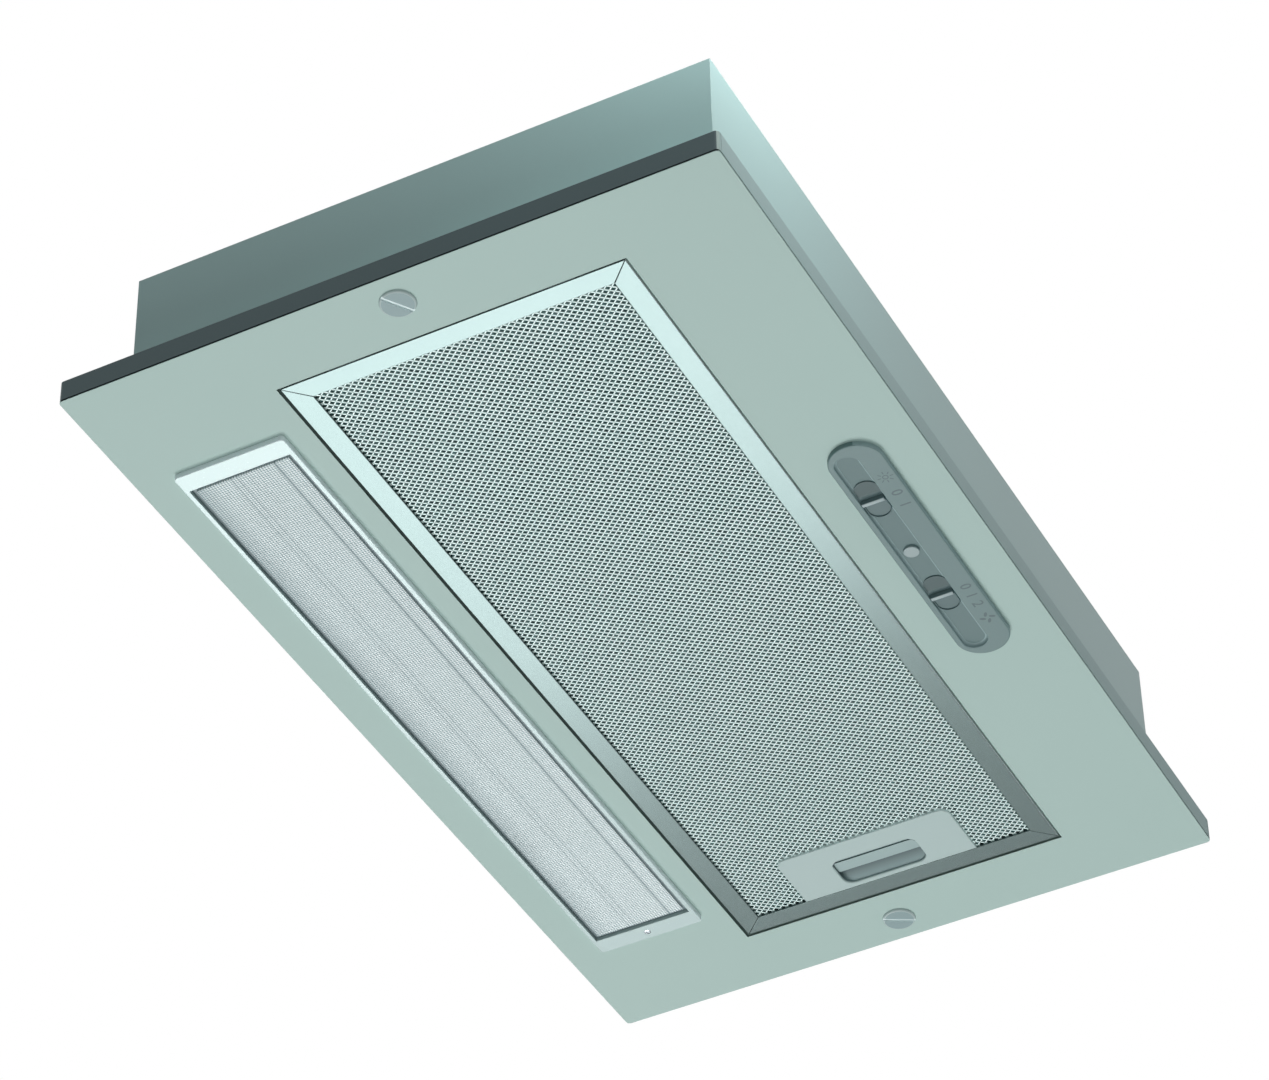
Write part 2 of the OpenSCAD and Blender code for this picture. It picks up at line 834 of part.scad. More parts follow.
module blower_cover_screws() {
    color([0.75, 0.77, 0.78])
    for (p = cover_screw_points())
        translate([p[0], p[1], box_top + sheet])
            screw_down(tapping_screw_d, sheet - 0.05);
}

// The spiral outline of the scroll, in the plane across the shaft, grown by a wall
function scroll_outline(grow) = concat(
    [for (i = [0:scroll_steps])
        let (turn = tongue_angle * i / scroll_steps,
            r = scroll_end - (scroll_end - scroll_start) * turn / tongue_angle + grow)
        [shaft_x + r * cos(turn), shaft_z - r * sin(turn)]],
    [[shaft_x + scroll_end - outlet_length - grow, outlet_top],
     [shaft_x + scroll_end + grow, outlet_top]]
);

// One half of the scroll: its spiral wall and a side with the inlet
module scroll_half(side) {
    half = scroll_width / 2;
    mirror([0, side > 0 ? 1 : 0, 0])
    difference() {
        rotate([90, 0, 0]) linear_extrude(half) polygon(scroll_outline(scroll_wall));
        translate([0, past, 0])
            rotate([90, 0, 0])
            linear_extrude(half - scroll_wall + past) polygon(scroll_outline(0));
        translate([shaft_x, past, shaft_z])
            rotate([90, 0, 0]) cylinder(d = inlet_d, h = half + 2 * past, $fn = 96);
        // The mouth of the outlet
        translate([outlet_x, -(half - scroll_wall) / 2 + past / 2, outlet_top - past])
            block(outlet_length, half - scroll_wall + past, 3 * past);
    }
}

// A rounded ring that leads the air into one side of the impeller
module inlet_ring(side) {
    translate([shaft_x, side * scroll_width / 2, shaft_z])
        rotate([side > 0 ? -90 : 90, 0, 0])
        rotate_extrude($fn = 96)
        translate([inlet_d / 2 + inlet_ring_r / 2, 0])
        intersection() {
            circle(r = inlet_ring_r);
            translate([-inlet_ring_r, 0]) square([2 * inlet_ring_r, inlet_ring_r]);
        }
}

module scroll_front() {
    color([0.22, 0.23, 0.24]) {
        scroll_half(-1);
        inlet_ring(-1);
    }
}

module scroll_rear() {
    color([0.22, 0.23, 0.24])
    difference() {
        union() {
            scroll_half(1);
            inlet_ring(1);
        }
        // Seats of the screws that hold the motor bracket
        for (a = bracket_angles) bracket_place(a) bar_y(motor_screw_d, 3 * grommet_length);
    }
}

// Places a piece where an arm of the motor bracket meets the scroll
module bracket_place(angle) {
    translate([shaft_x + bracket_r * cos(angle), scroll_width / 2 - 2 * past,
        shaft_z + bracket_r * sin(angle)])
        children();
}

// One blade, a forward-curved strip of even thickness seen along the shaft
function blade_outline() = let (
    outer_r = impeller_d / 2 - 0.5,
    place = function (t, shift)
        let (r = blade_inner_r + (outer_r - blade_inner_r) * t,
            a = blade_lead * t * t + shift / r * 57.3)
        [r * cos(a), r * sin(a)]
) concat(
    [for (i = [0:blade_steps]) place(i / blade_steps, -blade_sheet / 2)],
    [for (i = [blade_steps:-1:0]) place(i / blade_steps, blade_sheet / 2)]
);

// The double-inlet impeller: a centre disc, two end rings and the blades between them
module impeller() {
    ring = 2.4;
    color([0.30, 0.31, 0.33])
    translate([shaft_x, 0, shaft_z])
    rotate([90, 0, 0])
    difference() {
        union() {
            translate([0, 0, -1]) cylinder(d = impeller_d, h = 2, $fn = 96);
            for (z = [-impeller_width / 2, impeller_width / 2 - ring])
                translate([0, 0, z])
                    difference() {
                        cylinder(d = impeller_d + 1, h = ring, $fn = 96);
                        translate([0, 0, -past])
                            cylinder(r = blade_inner_r + 6, h = ring + 2 * past, $fn = 96);
                    }
            translate([0, 0, -impeller_width / 2 + 0.5])
                linear_extrude(impeller_width - 1)
                union() {
                    for (i = [0:blade_count - 1])
                        rotate(i * 360 / blade_count) polygon(blade_outline());
                }
            translate([0, 0, -4]) cylinder(d = hub_d, h = 14);
        }
        translate([0, 0, -impeller_width / 2]) cylinder(d = shaft_d, h = impeller_width);
    }
}

// The shaft of the motor, which carries the impeller
module motor_shaft() {
    color([0.78, 0.80, 0.81])
    translate([shaft_x, -12, shaft_z]) bar_y(shaft_d, 12 + motor_gap + motor_length - 6);
}

// The motor, with its bearing bores and cooling slots
module motor() {
    front_boss = 3;
    color([0.55, 0.57, 0.58])
    translate([shaft_x, motor_gap, shaft_z])
    difference() {
        union() {
            bar_y(motor_d, motor_length);
            translate([0, -front_boss, 0]) bar_y(24, front_boss);
        }
        translate([0, -front_boss - past, 0])
            bar_y(shaft_d + 2 * running_gap, motor_length - 5 + front_boss + past);
        for (i = [0:11])
            rotate([0, i * 30, 0])
            translate([motor_d / 2 - 10, motor_length - 14, -2])
            cube([7, 14 + past, 4]);
    }
}

// The three-arm bracket that carries the motor on the scroll
module motor_bracket() {
    leg_height = bracket_y - scroll_width / 2 - grommet_length;
    bracket_end = bracket_r + bracket_arm / 2;
    color([0.72, 0.76, 0.76])
    difference() {
        union() {
            translate([shaft_x, bracket_y, shaft_z]) bar_y(bracket_disc_d, bracket_sheet);
            for (a = bracket_angles)
                translate([shaft_x, bracket_y, shaft_z])
                rotate([0, -a, 0]) {
                    translate([0, 0, -bracket_arm / 2])
                        cube([bracket_end, bracket_sheet, bracket_arm]);
                    translate([bracket_end - bracket_sheet, -leg_height, -bracket_arm / 2])
                        cube([bracket_sheet, leg_height + bracket_sheet, bracket_arm]);
                    translate([bracket_end - bracket_arm, -leg_height, -bracket_arm / 2])
                        cube([bracket_arm, bracket_sheet, bracket_arm]);
                }
        }
        translate([shaft_x, bracket_y - past, shaft_z]) bar_y(bracket_bore_d, bracket_sheet + 2 * past);
        for (a = bracket_angles) bracket_place(a) bar_y(motor_screw_hole_d, 3 * grommet_length);
    }
}

// Rubber grommets between the bracket and the scroll
module motor_grommets() {
    color([0.12, 0.12, 0.12])
    for (a = bracket_angles)
        difference() {
            bracket_place(a) translate([0, 2 * past, 0]) bar_y(grommet_d, grommet_length);
            bracket_place(a) bar_y(motor_screw_hole_d, 3 * grommet_length);
        }
}

module motor_screws() {
    head_y = 2 * past + grommet_length + bracket_sheet;
    color([0.75, 0.77, 0.78])
    for (a = bracket_angles)
        bracket_place(a) {
            translate([0, past, 0]) bar_y(motor_screw_d, head_y - past);
            translate([0, head_y, 0]) bar_y(2.2 * motor_screw_d, 0.7 * motor_screw_d);
        }
}

// The motor's run capacitor, hung under the top of the chassis
module run_capacitor() {
    color([0.82, 0.83, 0.82])
    translate([terminal_x + 6, -capacitor_length / 2, box_top - sheet - capacitor_d / 2 - 3]) {
        bar_y(capacitor_d, capacitor_length);
        translate([0, capacitor_length / 2 - 6, 0])
            translate([-capacitor_d / 2 - 2, 0, 0])
            cube([capacitor_d + 4, 12, capacitor_d / 2 + 3]);
        translate([0, capacitor_length, 0]) bar_y(12, 6);
    }
}

// The duct spigot on the top of the blower cover
module outlet_spigot() {
    bore_d = spigot_d - 2 * spigot_wall;
    color([0.24, 0.25, 0.26])
    translate([outlet_x, 0, cover_top])
    difference() {
        union() {
            cylinder(d = spigot_d, h = spigot_height, $fn = 96);
            cylinder(d = spigot_flange_d, h = spigot_flange_sheet, $fn = 96);
        }
        translate([0, 0, -past]) cylinder(d = bore_d, h = spigot_height + 2 * past, $fn = 96);
        translate([0, -spigot_d, damper_z - cover_top])
            bar_y(damper_pin_d, 2 * spigot_d);
        for (p = spigot_screw_points())
            translate([p[0], p[1], -past]) cylinder(d = tapping_hole_d, h = spigot_flange_sheet + 2 * past);
    }
}

function spigot_screw_points() = [
    for (a = [45:90:315]) [(spigot_flange_d / 2 - 6) * cos(a), (spigot_flange_d / 2 - 6) * sin(a)]
];

module spigot_screws() {
    color([0.75, 0.77, 0.78])
    for (p = spigot_screw_points())
        translate([outlet_x + p[0], p[1], cover_top + spigot_flange_sheet])
            screw_down(tapping_screw_d, spigot_flange_sheet - 0.1);
}

// The pin that both damper flaps turn on
module damper_pin() {
    color([0.78, 0.80, 0.81])
    translate([outlet_x, -spigot_d / 2, damper_z]) bar_y(damper_pin_d, spigot_d);
}

// A half-round damper flap with its knuckles on the pin
module damper_flap(side) {
    knuckle_length = knuckle_span / knuckle_count;
    inner = knuckle_d / 2 + slide_gap;
    color([0.32, 0.33, 0.34])
    translate([outlet_x, 0, damper_z])
    difference() {
        union() {
            intersection() {
                translate([0, 0, -flap_sheet / 2]) cylinder(r = flap_r, h = flap_sheet, $fn = 96);
                translate([side > 0 ? inner : -flap_r - inner, -flap_r, -flap_sheet])
                    cube([flap_r, 2 * flap_r, 2 * flap_sheet]);
            }
            for (i = [0:knuckle_count - 1])
                if ((i % 2 == 0) == (side > 0)) {
                    start = -knuckle_span / 2 + i * knuckle_length + slide_gap / 2;
                    translate([0, start, 0]) bar_y(knuckle_d, knuckle_length - slide_gap);
                    translate([side > 0 ? 0 : -knuckle_d, start, -flap_sheet / 2])
                        cube([knuckle_d, knuckle_length - slide_gap, flap_sheet]);
                }
        }
        translate([0, -flap_r - past, 0])
            bar_y(damper_pin_d + 2 * running_gap, 2 * flap_r + 2 * past);
    }
}

module damper_flap_left() {
    damper_flap(-1);
}

module damper_flap_right() {
    damper_flap(1);
}

// The box for the mains connection, on the top of the chassis
module terminal_box() {
    inner_length = terminal_length - 2 * terminal_wall;
    inner_depth = terminal_depth - 2 * terminal_wall;
    color([0.90, 0.90, 0.88])
    translate([terminal_x, terminal_y, box_top])
    difference() {
        union() {
            difference() {
                block(terminal_length, terminal_depth, terminal_height);
                translate([0, 0, terminal_wall])
                    block(inner_length, inner_depth, terminal_height);
            }
            // Terminal strip with three clamps
            translate([0, strip_y, terminal_wall]) block(strip_length, strip_size, strip_size);
            for (x = [-1, 1])
                translate([x * (terminal_length / 2 - terminal_post), 0, terminal_wall])
                    cylinder(d = terminal_post_d, h = terminal_height - terminal_wall);
        }
        for (x = [-1, 0, 1])
            translate([x * clamp_pitch, strip_y, terminal_wall + strip_size / 2])
                cylinder(d = clamp_d, h = terminal_height);
        for (x = [-1, 1])
            translate([x * (terminal_length / 2 - terminal_post), 0,
                terminal_height - terminal_screw_length - 2])
                cylinder(d = terminal_screw_d, h = terminal_screw_length + 2 + past);
        translate([0, terminal_wire_d, -past])
            cylinder(d = terminal_wire_d, h = terminal_wall + 2 * past);
        translate([0, terminal_depth / 2 - terminal_wall - past, terminal_height / 2 + 2])
            bar_y(terminal_bush_d, terminal_wall + 2 * past);
    }
}

module terminal_cover() {
    color([0.90, 0.90, 0.88])
    translate([terminal_x, terminal_y, box_top + terminal_height])
    difference() {
        rounded_plate(terminal_length, terminal_depth, terminal_cover_sheet, 2);
        for (x = [-1, 1])
            translate([x * (terminal_length / 2 - terminal_post), 0, -past])
                cylinder(d = terminal_screw_hole_d, h = terminal_cover_sheet + 2 * past);
    }
}

module terminal_screws() {
    color([0.75, 0.77, 0.78])
    for (x = [-1, 1])
        translate([terminal_x + x * (terminal_length / 2 - terminal_post), terminal_y,
            box_top + terminal_height + terminal_cover_sheet])
            screw_down(terminal_screw_d, terminal_screw_length);
}

// The gland where the mains cable enters
module cable_gland() {
    color([0.14, 0.14, 0.15])
    translate([terminal_x, terminal_y + terminal_depth / 2, box_top + terminal_height / 2 + 2])
    difference() {
        union() {
            translate([0, -terminal_wall, 0]) bar_y(terminal_bush_d, terminal_wall);
            rotate([-90, 0, 0]) cylinder(d = gland_nut_d, h = gland_nut, $fn = 6);
            translate([0, gland_nut, 0]) bar_y(gland_d, gland_length - gland_nut);
        }
        translate([0, -terminal_wall - past, 0])
            bar_y(cable_d, gland_length + terminal_wall + 2 * past);
    }
}

faceplate();
chassis();
knob_receivers();
knob_left();
knob_right();
filter_frame();
filter_mesh();
filter_hooks();
filter_handle();
filter_latch();
lamp_cover_frame();
lamp_lens();
lamp_cover_screw();
lamp_reflector();
reflector_screws();
lampholder_left();
lampholder_right();
bulb_left();
bulb_right();
control_bezel();
control_pin();
light_slider();
speed_slider();
light_switch();
speed_switch();
blower_cover();
blower_cover_screws();
scroll_front();
scroll_rear();
impeller();
motor_shaft();
motor();
motor_bracket();
motor_grommets();
motor_screws();
run_capacitor();
outlet_spigot();
spigot_screws();
damper_pin();
damper_flap_left();
damper_flap_right();
terminal_box();
terminal_cover();
terminal_screws();
cable_gland();
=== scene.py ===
import bpy
import math
from mathutils import Matrix, Vector


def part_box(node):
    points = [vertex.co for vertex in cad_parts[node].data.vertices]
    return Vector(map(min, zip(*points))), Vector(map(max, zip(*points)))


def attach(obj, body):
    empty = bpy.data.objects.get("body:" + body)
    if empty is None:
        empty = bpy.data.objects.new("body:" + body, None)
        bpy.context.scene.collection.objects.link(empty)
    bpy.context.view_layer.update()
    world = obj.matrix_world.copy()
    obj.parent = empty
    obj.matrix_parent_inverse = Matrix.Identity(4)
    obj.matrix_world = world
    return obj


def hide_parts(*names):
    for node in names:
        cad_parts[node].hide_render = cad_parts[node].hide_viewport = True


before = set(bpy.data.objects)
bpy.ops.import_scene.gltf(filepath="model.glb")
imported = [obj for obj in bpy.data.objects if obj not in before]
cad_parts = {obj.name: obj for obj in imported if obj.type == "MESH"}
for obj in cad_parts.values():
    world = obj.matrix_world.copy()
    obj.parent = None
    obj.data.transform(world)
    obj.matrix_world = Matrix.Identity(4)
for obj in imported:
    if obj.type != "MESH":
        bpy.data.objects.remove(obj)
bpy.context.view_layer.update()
mm = 0.001
largeFace = 12 * mm * mm
print("stage: frame loaded")


# Small helpers that every piece uses

def deselectAll():
    if bpy.context.object and bpy.context.object.mode != "OBJECT":
        bpy.ops.object.mode_set(mode="OBJECT")
    bpy.ops.object.select_all(action="DESELECT")


def makeActive(piece):
    deselectAll()
    piece.select_set(True)
    bpy.context.view_layer.objects.active = piece


def applyPlace(piece):
    makeActive(piece)
    bpy.ops.object.transform_apply(location=True, rotation=True, scale=True)


def addBlock(low, high):
    deselectAll()
    middle = [(a + b) / 2 * mm for a, b in zip(low, high)]
    size = [abs(b - a) * mm for a, b in zip(low, high)]
    bpy.ops.mesh.primitive_cube_add(size=1, location=middle)
    block = bpy.context.object
    block.scale = size
    applyPlace(block)
    return block


def addRod(middle, radius, length, axis="Z", sides=48):
    turns = {"X": (0, math.pi / 2, 0), "Y": (math.pi / 2, 0, 0), "Z": (0, 0, 0)}
    deselectAll()
    bpy.ops.mesh.primitive_cylinder_add(vertices=sides, radius=radius * mm, depth=length * mm,
        location=[v * mm for v in middle], rotation=turns[axis])
    rod = bpy.context.object
    applyPlace(rod)
    return rod


def runModifier(piece, kind, **values):
    makeActive(piece)
    modifier = piece.modifiers.new(kind.title(), kind)
    for key, value in values.items():
        setattr(modifier, key, value)
    bpy.ops.object.modifier_apply(modifier=modifier.name)


def cutWith(piece, cutter):
    runModifier(piece, "BOOLEAN", object=cutter, operation="DIFFERENCE", solver="EXACT")
    bpy.data.objects.remove(cutter)


def uniteWith(piece, other):
    runModifier(piece, "BOOLEAN", object=other, operation="UNION", solver="EXACT")
    bpy.data.objects.remove(other)


def joinPieces(pieces):
    deselectAll()
    for piece in pieces:
        piece.select_set(True)
    bpy.context.view_layer.objects.active = pieces[0]
    bpy.ops.object.join()
    return pieces[0]


def roundEdges(piece, width, segments=3, angle=40):
    runModifier(piece, "BEVEL", width=width * mm, segments=segments, limit_method="ANGLE",
        angle_limit=math.radians(angle), use_clamp_overlap=True)


# Edit mode with only the chosen corners, edges or faces selected, by their place in millimetres
def pick(piece, kind, test):
    makeActive(piece)
    bpy.context.tool_settings.mesh_select_mode = [kind == name for name in ("VERT", "EDGE", "FACE")]
    mesh = piece.data
    for group in (mesh.vertices, mesh.edges, mesh.polygons):
        group.foreach_set("select", [False] * len(group))
    if kind == "VERT":
        for corner in mesh.vertices:
            corner.select = bool(test(corner.co / mm))
    elif kind == "EDGE":
        for edge in mesh.edges:
            edge.select = bool(test(*(mesh.vertices[i].co / mm for i in edge.vertices)))
    else:
        for face in mesh.polygons:
            face.select = bool(test(face.center / mm, face.normal))
    bpy.ops.object.mode_set(mode="EDIT")


def moveBy(x, y, z):
    bpy.ops.transform.translate(value=(x * mm, y * mm, z * mm))
    bpy.ops.object.mode_set(mode="OBJECT")


def turnOutward(piece):
    pick(piece, "FACE", lambda at, normal: True)
    bpy.ops.mesh.normals_make_consistent(inside=False)
    bpy.ops.object.mode_set(mode="OBJECT")


def roundPicked(piece, width, segments, test):
    pick(piece, "EDGE", test)
    bpy.ops.mesh.bevel(offset=width * mm, segments=segments, profile=0.5)
    bpy.ops.object.mode_set(mode="OBJECT")


# Rounds the edges round the underside, which lies at the given height
def roundRim(piece, width, segments, height):
    roundPicked(piece, width, segments, lambda a, b: max(a.z, b.z) < height + 0.01)


def isUpright(a, b):
    return abs(a.z - b.z) > 0.01 and abs(a.x - b.x) < 0.01 and abs(a.y - b.y) < 0.01


# True for an edge that lies at one height inside a rectangle or on its sides
def onRing(a, b, low, high, height):
    near = 0.02
    return all(abs(p.z - height) < near and low[0] - near < p.x < high[0] + near
        and low[1] - near < p.y < high[1] + near for p in (a, b))


# A block with rounded upright corners, and optionally a softened lower rim
def addRounded(low, high, corner, rim=0, corners=8, rimSteps=3):
    block = addBlock(low, high)
    roundPicked(block, corner, corners, isUpright)
    if rim:
        roundRim(block, rim, rimSteps, low[2])
    return block


# A long oval with round ends along X: a rod whose two halves are drawn apart
def addStadium(low, high, rim=0, rimSteps=3):
    radius = (high[1] - low[1]) / 2
    spread = (high[0] - low[0]) / 2 - radius
    middleX = (low[0] + high[0]) / 2
    oval = addRod((middleX, (low[1] + high[1]) / 2, (low[2] + high[2]) / 2), radius,
        high[2] - low[2], sides=64)
    for side in (-1, 1):
        pick(oval, "VERT", lambda at: (at.x - middleX) * side > 0.01)
        moveBy(side * spread, 0, 0)
    if rim:
        roundRim(oval, rim, rimSteps, low[2])
    return oval


def finishPiece(piece, name, body, finish, replaced=(), smooth=35):
    applyPlace(piece)
    piece.name = name
    piece.data.name = name
    bpy.ops.object.shade_smooth_by_angle(angle=math.radians(smooth))
    # Large level faces stay flat beside their soft edges
    for face in piece.data.polygons:
        if face.area > largeFace and max(abs(v) for v in face.normal) > 0.9999:
            face.use_smooth = False
    piece.data.materials.clear()
    piece.data.materials.append(paints[finish])
    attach(piece, body)
    if replaced:
        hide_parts(*replaced)
    return piece


# Further finishes on some faces: the rule gives 0 for the piece's own finish, 1 for the next
def paintFaces(piece, further, rule):
    for finish in further:
        piece.data.materials.append(paints[finish])
    for face in piece.data.polygons:
        face.material_index = int(rule(face.center / mm, face.normal))


# Materials

def newMaterial(name, color, roughness, metallic=0.0):
    material = bpy.data.materials.new(name)
    material.use_nodes = True
    shader = material.node_tree.nodes["Principled BSDF"]
    shader.inputs["Base Color"].default_value = (*color, 1)
    shader.inputs["Roughness"].default_value = roughness
    shader.inputs["Metallic"].default_value = metallic
    return material, material.node_tree, shader


def objectPoint(tree, scale=(1, 1, 1)):
    point = tree.nodes.new("ShaderNodeTexCoord")
    mapping = tree.nodes.new("ShaderNodeMapping")
    mapping.inputs["Scale"].default_value = scale
    tree.links.new(point.outputs["Object"], mapping.inputs["Vector"])
    return mapping.outputs["Vector"]


def objectAxis(tree, axis):
    split = tree.nodes.new("ShaderNodeSeparateXYZ")
    tree.links.new(objectPoint(tree), split.inputs[0])
    return split.outputs[axis]


def addMath(tree, operation, *values):
    node = tree.nodes.new("ShaderNodeMath")
    node.operation = operation
    for value, socket in zip(values, node.inputs):
        if hasattr(value, "is_output"):
            tree.links.new(value, socket)
        else:
            socket.default_value = value
    return node.outputs[0]


# 1 where a surface is seen, straight or by reflection or through glass, and 0 where it gives light
def addSeen(tree):
    rays = tree.nodes.new("ShaderNodeLightPath")
    seen = rays.outputs["Is Camera Ray"]
    for ray in ("Is Glossy Ray", "Is Transmission Ray"):
        seen = addMath(tree, "MAXIMUM", seen, rays.outputs[ray])
    return seen


def addNoise(tree, scale, detail=3, stretch=(1, 1, 1)):
    noise = tree.nodes.new("ShaderNodeTexNoise")
    noise.inputs["Scale"].default_value = scale
    noise.inputs["Detail"].default_value = detail
    tree.links.new(objectPoint(tree, stretch), noise.inputs["Vector"])
    return noise.outputs["Fac"]


def addRange(tree, value, low, high, start=0.0, end=1.0):
    remap = tree.nodes.new("ShaderNodeMapRange")
    remap.inputs["From Min"].default_value = start
    remap.inputs["From Max"].default_value = end
    remap.inputs["To Min"].default_value = low
    remap.inputs["To Max"].default_value = high
    tree.links.new(value, remap.inputs["Value"])
    return remap.outputs["Result"]


def mixColors(tree, factor, first, second):
    mix = tree.nodes.new("ShaderNodeMix")
    mix.data_type = "RGBA"
    tree.links.new(factor, mix.inputs["Factor"])
    for socket, color in (("A", first), ("B", second)):
        target = [s for s in mix.inputs if s.name == socket and s.type == "RGBA"][0]
        if hasattr(color, "is_output"):
            tree.links.new(color, target)
        else:
            target.default_value = (*color, 1)
    return [s for s in mix.outputs if s.type == "RGBA"][0]


def addBump(tree, shader, height, strength, distance, edge=0.0):
    bump = tree.nodes.new("ShaderNodeBump")
    bump.inputs["Strength"].default_value = strength
    bump.inputs["Distance"].default_value = distance
    tree.links.new(height, bump.inputs["Height"])
    if edge:
        bevel = tree.nodes.new("ShaderNodeBevel")
        bevel.samples = 4
        bevel.inputs["Radius"].default_value = edge * mm
        tree.links.new(bevel.outputs["Normal"], bump.inputs["Normal"])
    tree.links.new(bump.outputs["Normal"], shader.inputs["Normal"])


# A surface with two close colours in soft patches, uneven gloss and a fine grain
def grainedMaterial(name, color, other, roughness, metallic=0.0, patch=9, grain=1400,
        bump=0.12, depth=0.05, edge=0.0, stretch=(1, 1, 1), spread=0.06):
    material, tree, shader = newMaterial(name, color, roughness, metallic)
    patches = addNoise(tree, patch, 4)
    fine = addNoise(tree, grain, 2, stretch)
    tree.links.new(mixColors(tree, patches, color, other), shader.inputs["Base Color"])
    tree.links.new(addRange(tree, fine, roughness - spread, roughness + spread),
        shader.inputs["Roughness"])
    addBump(tree, shader, fine, bump, depth * mm, edge)
    return material


def linear(r, g, b):
    return tuple((v / 255) ** 2.2 for v in (r, g, b))


# Two close colours of each surface, its roughness and what else sets it apart
finishes = {
    "platePaint": ((160, 186, 180), (165, 190, 184), 0.55, {"bump": 0.1, "edge": 0.3}),
    # Darker copy of the plate paint for the end walls: painted shade
    "endWallPaintedShade": ((66, 88, 91), (71, 93, 96), 0.55, {"bump": 0.1, "edge": 0.3}),
    # Lighter copy of the plate paint for the side walls: painted light
    "sideWallPaintedLight": ((169, 199, 198), (174, 203, 202), 0.55, {"bump": 0.1, "edge": 0.3}),
    "sheetPaint": ((170, 209, 207), (176, 213, 211), 0.38, {"bump": 0.08, "edge": 0.5}),
    "seamShade": ((30, 42, 44), (38, 50, 52), 0.7, {}),
    "filterMetal": ((100, 114, 113), (95, 110, 109), 0.18, {"metallic": 0.72, "bump": 0.02}),
    # Near-white for the outer side of the filter frame facing -Y: painted light
    "frameSidePaintedLight": ((232, 244, 244), (226, 239, 239), 0.4, {"bump": 0.05}),
    "meshMetal": ((236, 255, 253), (220, 247, 244), 0.45,
        {"metallic": 0.1, "patch": 40, "bump": 0.1}),
    "meshShade": ((76, 118, 116), (62, 104, 102), 0.5,
        {"metallic": 0.1, "patch": 60, "bump": 0.15}),
    "packShade": ((58, 92, 91), (78, 112, 110), 0.65,
        {"patch": 700, "grain": 900, "bump": 0.5, "depth": 0.3}),
    "gripPlastic": ((161, 183, 181), (166, 187, 185), 0.46, {"bump": 0.16, "edge": 0.3}),
    # Lighter copy of the grip colour for its side walls: painted light
    "gripWallPaintedLight": ((206, 228, 226), (210, 231, 229), 0.46, {"bump": 0.1}),
    "rimShade": ((62, 80, 83), (66, 85, 88), 0.5, {}),
    "latchPlastic": ((138, 162, 162), (143, 167, 166), 0.45, {"bump": 0.14, "edge": 0.2}),
    "lampPlastic": ((171, 191, 190), (165, 186, 185), 0.25, {"metallic": 0.12, "bump": 0.03}),
    # Near-white for the outer walls of the lamp cover frame: painted light
    "coverWallPaintedLight": ((236, 248, 250), (230, 243, 246), 0.3, {"bump": 0.05}),
    # Dark grey for the lens edge seen in the groove: painted shade
    "lensEdgePaintedShade": ((104, 122, 126), (98, 116, 120), 0.4, {"patch": 30}),
    "controlPlastic": ((87, 114, 114), (93, 120, 120), 0.44, {"bump": 0.14, "edge": 0.25}),
    "trackShade": ((80, 106, 107), (86, 112, 112), 0.5, {}),
    # Lighter copy of the bezel colour for the track walls and the outer walls facing -Y: painted
    # light
    "bezelWallPaintedLight": ((132, 156, 158), (138, 162, 163), 0.5, {}),
    "buttonPlastic": ((60, 88, 90), (65, 93, 95), 0.45, {"bump": 0.12, "edge": 0.2}),
    # Light grey for the top of each slider's ridge: painted highlight
    "ridgePaintedHighlight": ((150, 168, 170), (144, 162, 164), 0.4, {}),
    "pinPlastic": ((132, 151, 152), (138, 157, 158), 0.36, {"edge": 0.2}),
    "markPaint": ((68, 89, 92), (72, 93, 96), 0.5, {}),
    "knobPlastic": ((117, 143, 145), (123, 148, 150), 0.45, {"bump": 0.12, "edge": 0.2}),
    # Lighter copies of the knob colour for the ring round the head and for the slot: painted light
    "knobEdgePaintedLight": ((172, 190, 189), (166, 184, 183), 0.45, {}),
    "slotPaintedLight": ((214, 232, 232), (206, 225, 225), 0.4, {}),
    "fanPlastic": ((52, 55, 58), (60, 63, 66), 0.5, {"bump": 0.2, "edge": 0.4}),
    "offWhite": ((226, 226, 218), (232, 231, 224), 0.48, {"bump": 0.12, "edge": 0.4}),
    "screwSteel": ((196, 202, 205), (176, 183, 188), 0.28,
        {"metallic": 1.0, "patch": 60, "grain": 2200, "bump": 0.12, "edge": 0.15}),
    "reflectorMetal": ((230, 234, 232), (218, 224, 224), 0.2,
        {"metallic": 0.9, "grain": 1200, "stretch": (0.05, 1, 1), "bump": 0.08}),
    "motorSteel": ((140, 148, 150), (120, 128, 131), 0.45,
        {"metallic": 0.7, "patch": 30, "bump": 0.18, "edge": 0.4}),
    "ceramic": ((232, 229, 218), (224, 221, 210), 0.3, {"bump": 0.06, "edge": 0.5}),
    "bulbGlass": ((240, 236, 222), (246, 243, 232), 0.25, {"bump": 0.04}),
    "rubberBlack": ((30, 31, 31), (40, 41, 41), 0.7, {"bump": 0.3, "edge": 0.4}),
    "switchPlastic": ((64, 66, 68), (72, 74, 76), 0.5, {"bump": 0.15, "edge": 0.3}),
}
paints = {name: grainedMaterial(name, linear(*color), linear(*other), roughness, **rest)
    for name, (color, other, roughness, rest) in finishes.items()}


# Two tones along one axis, for a recess that gets less light at one end
def fadedMaterial(name, axis, start, end, first, second, roughness):
    material, tree, shader = newMaterial(name, first, roughness)
    factor = addRange(tree, objectAxis(tree, axis), 0, 1, start * mm, end * mm)
    tree.links.new(mixColors(tree, factor, first, second), shader.inputs["Base Color"])
    return material


# Wave of a given pitch along X or Y, from 0 to 1, highest at the middle of each cell
def addCells(tree, axis, pitch, shift):
    phase = addMath(tree, "MULTIPLY_ADD", objectAxis(tree, axis), 2 * math.pi / (pitch * mm),
        -2 * math.pi * shift / pitch)
    return addRange(tree, addMath(tree, "COSINE", phase), 0, 1, -1)
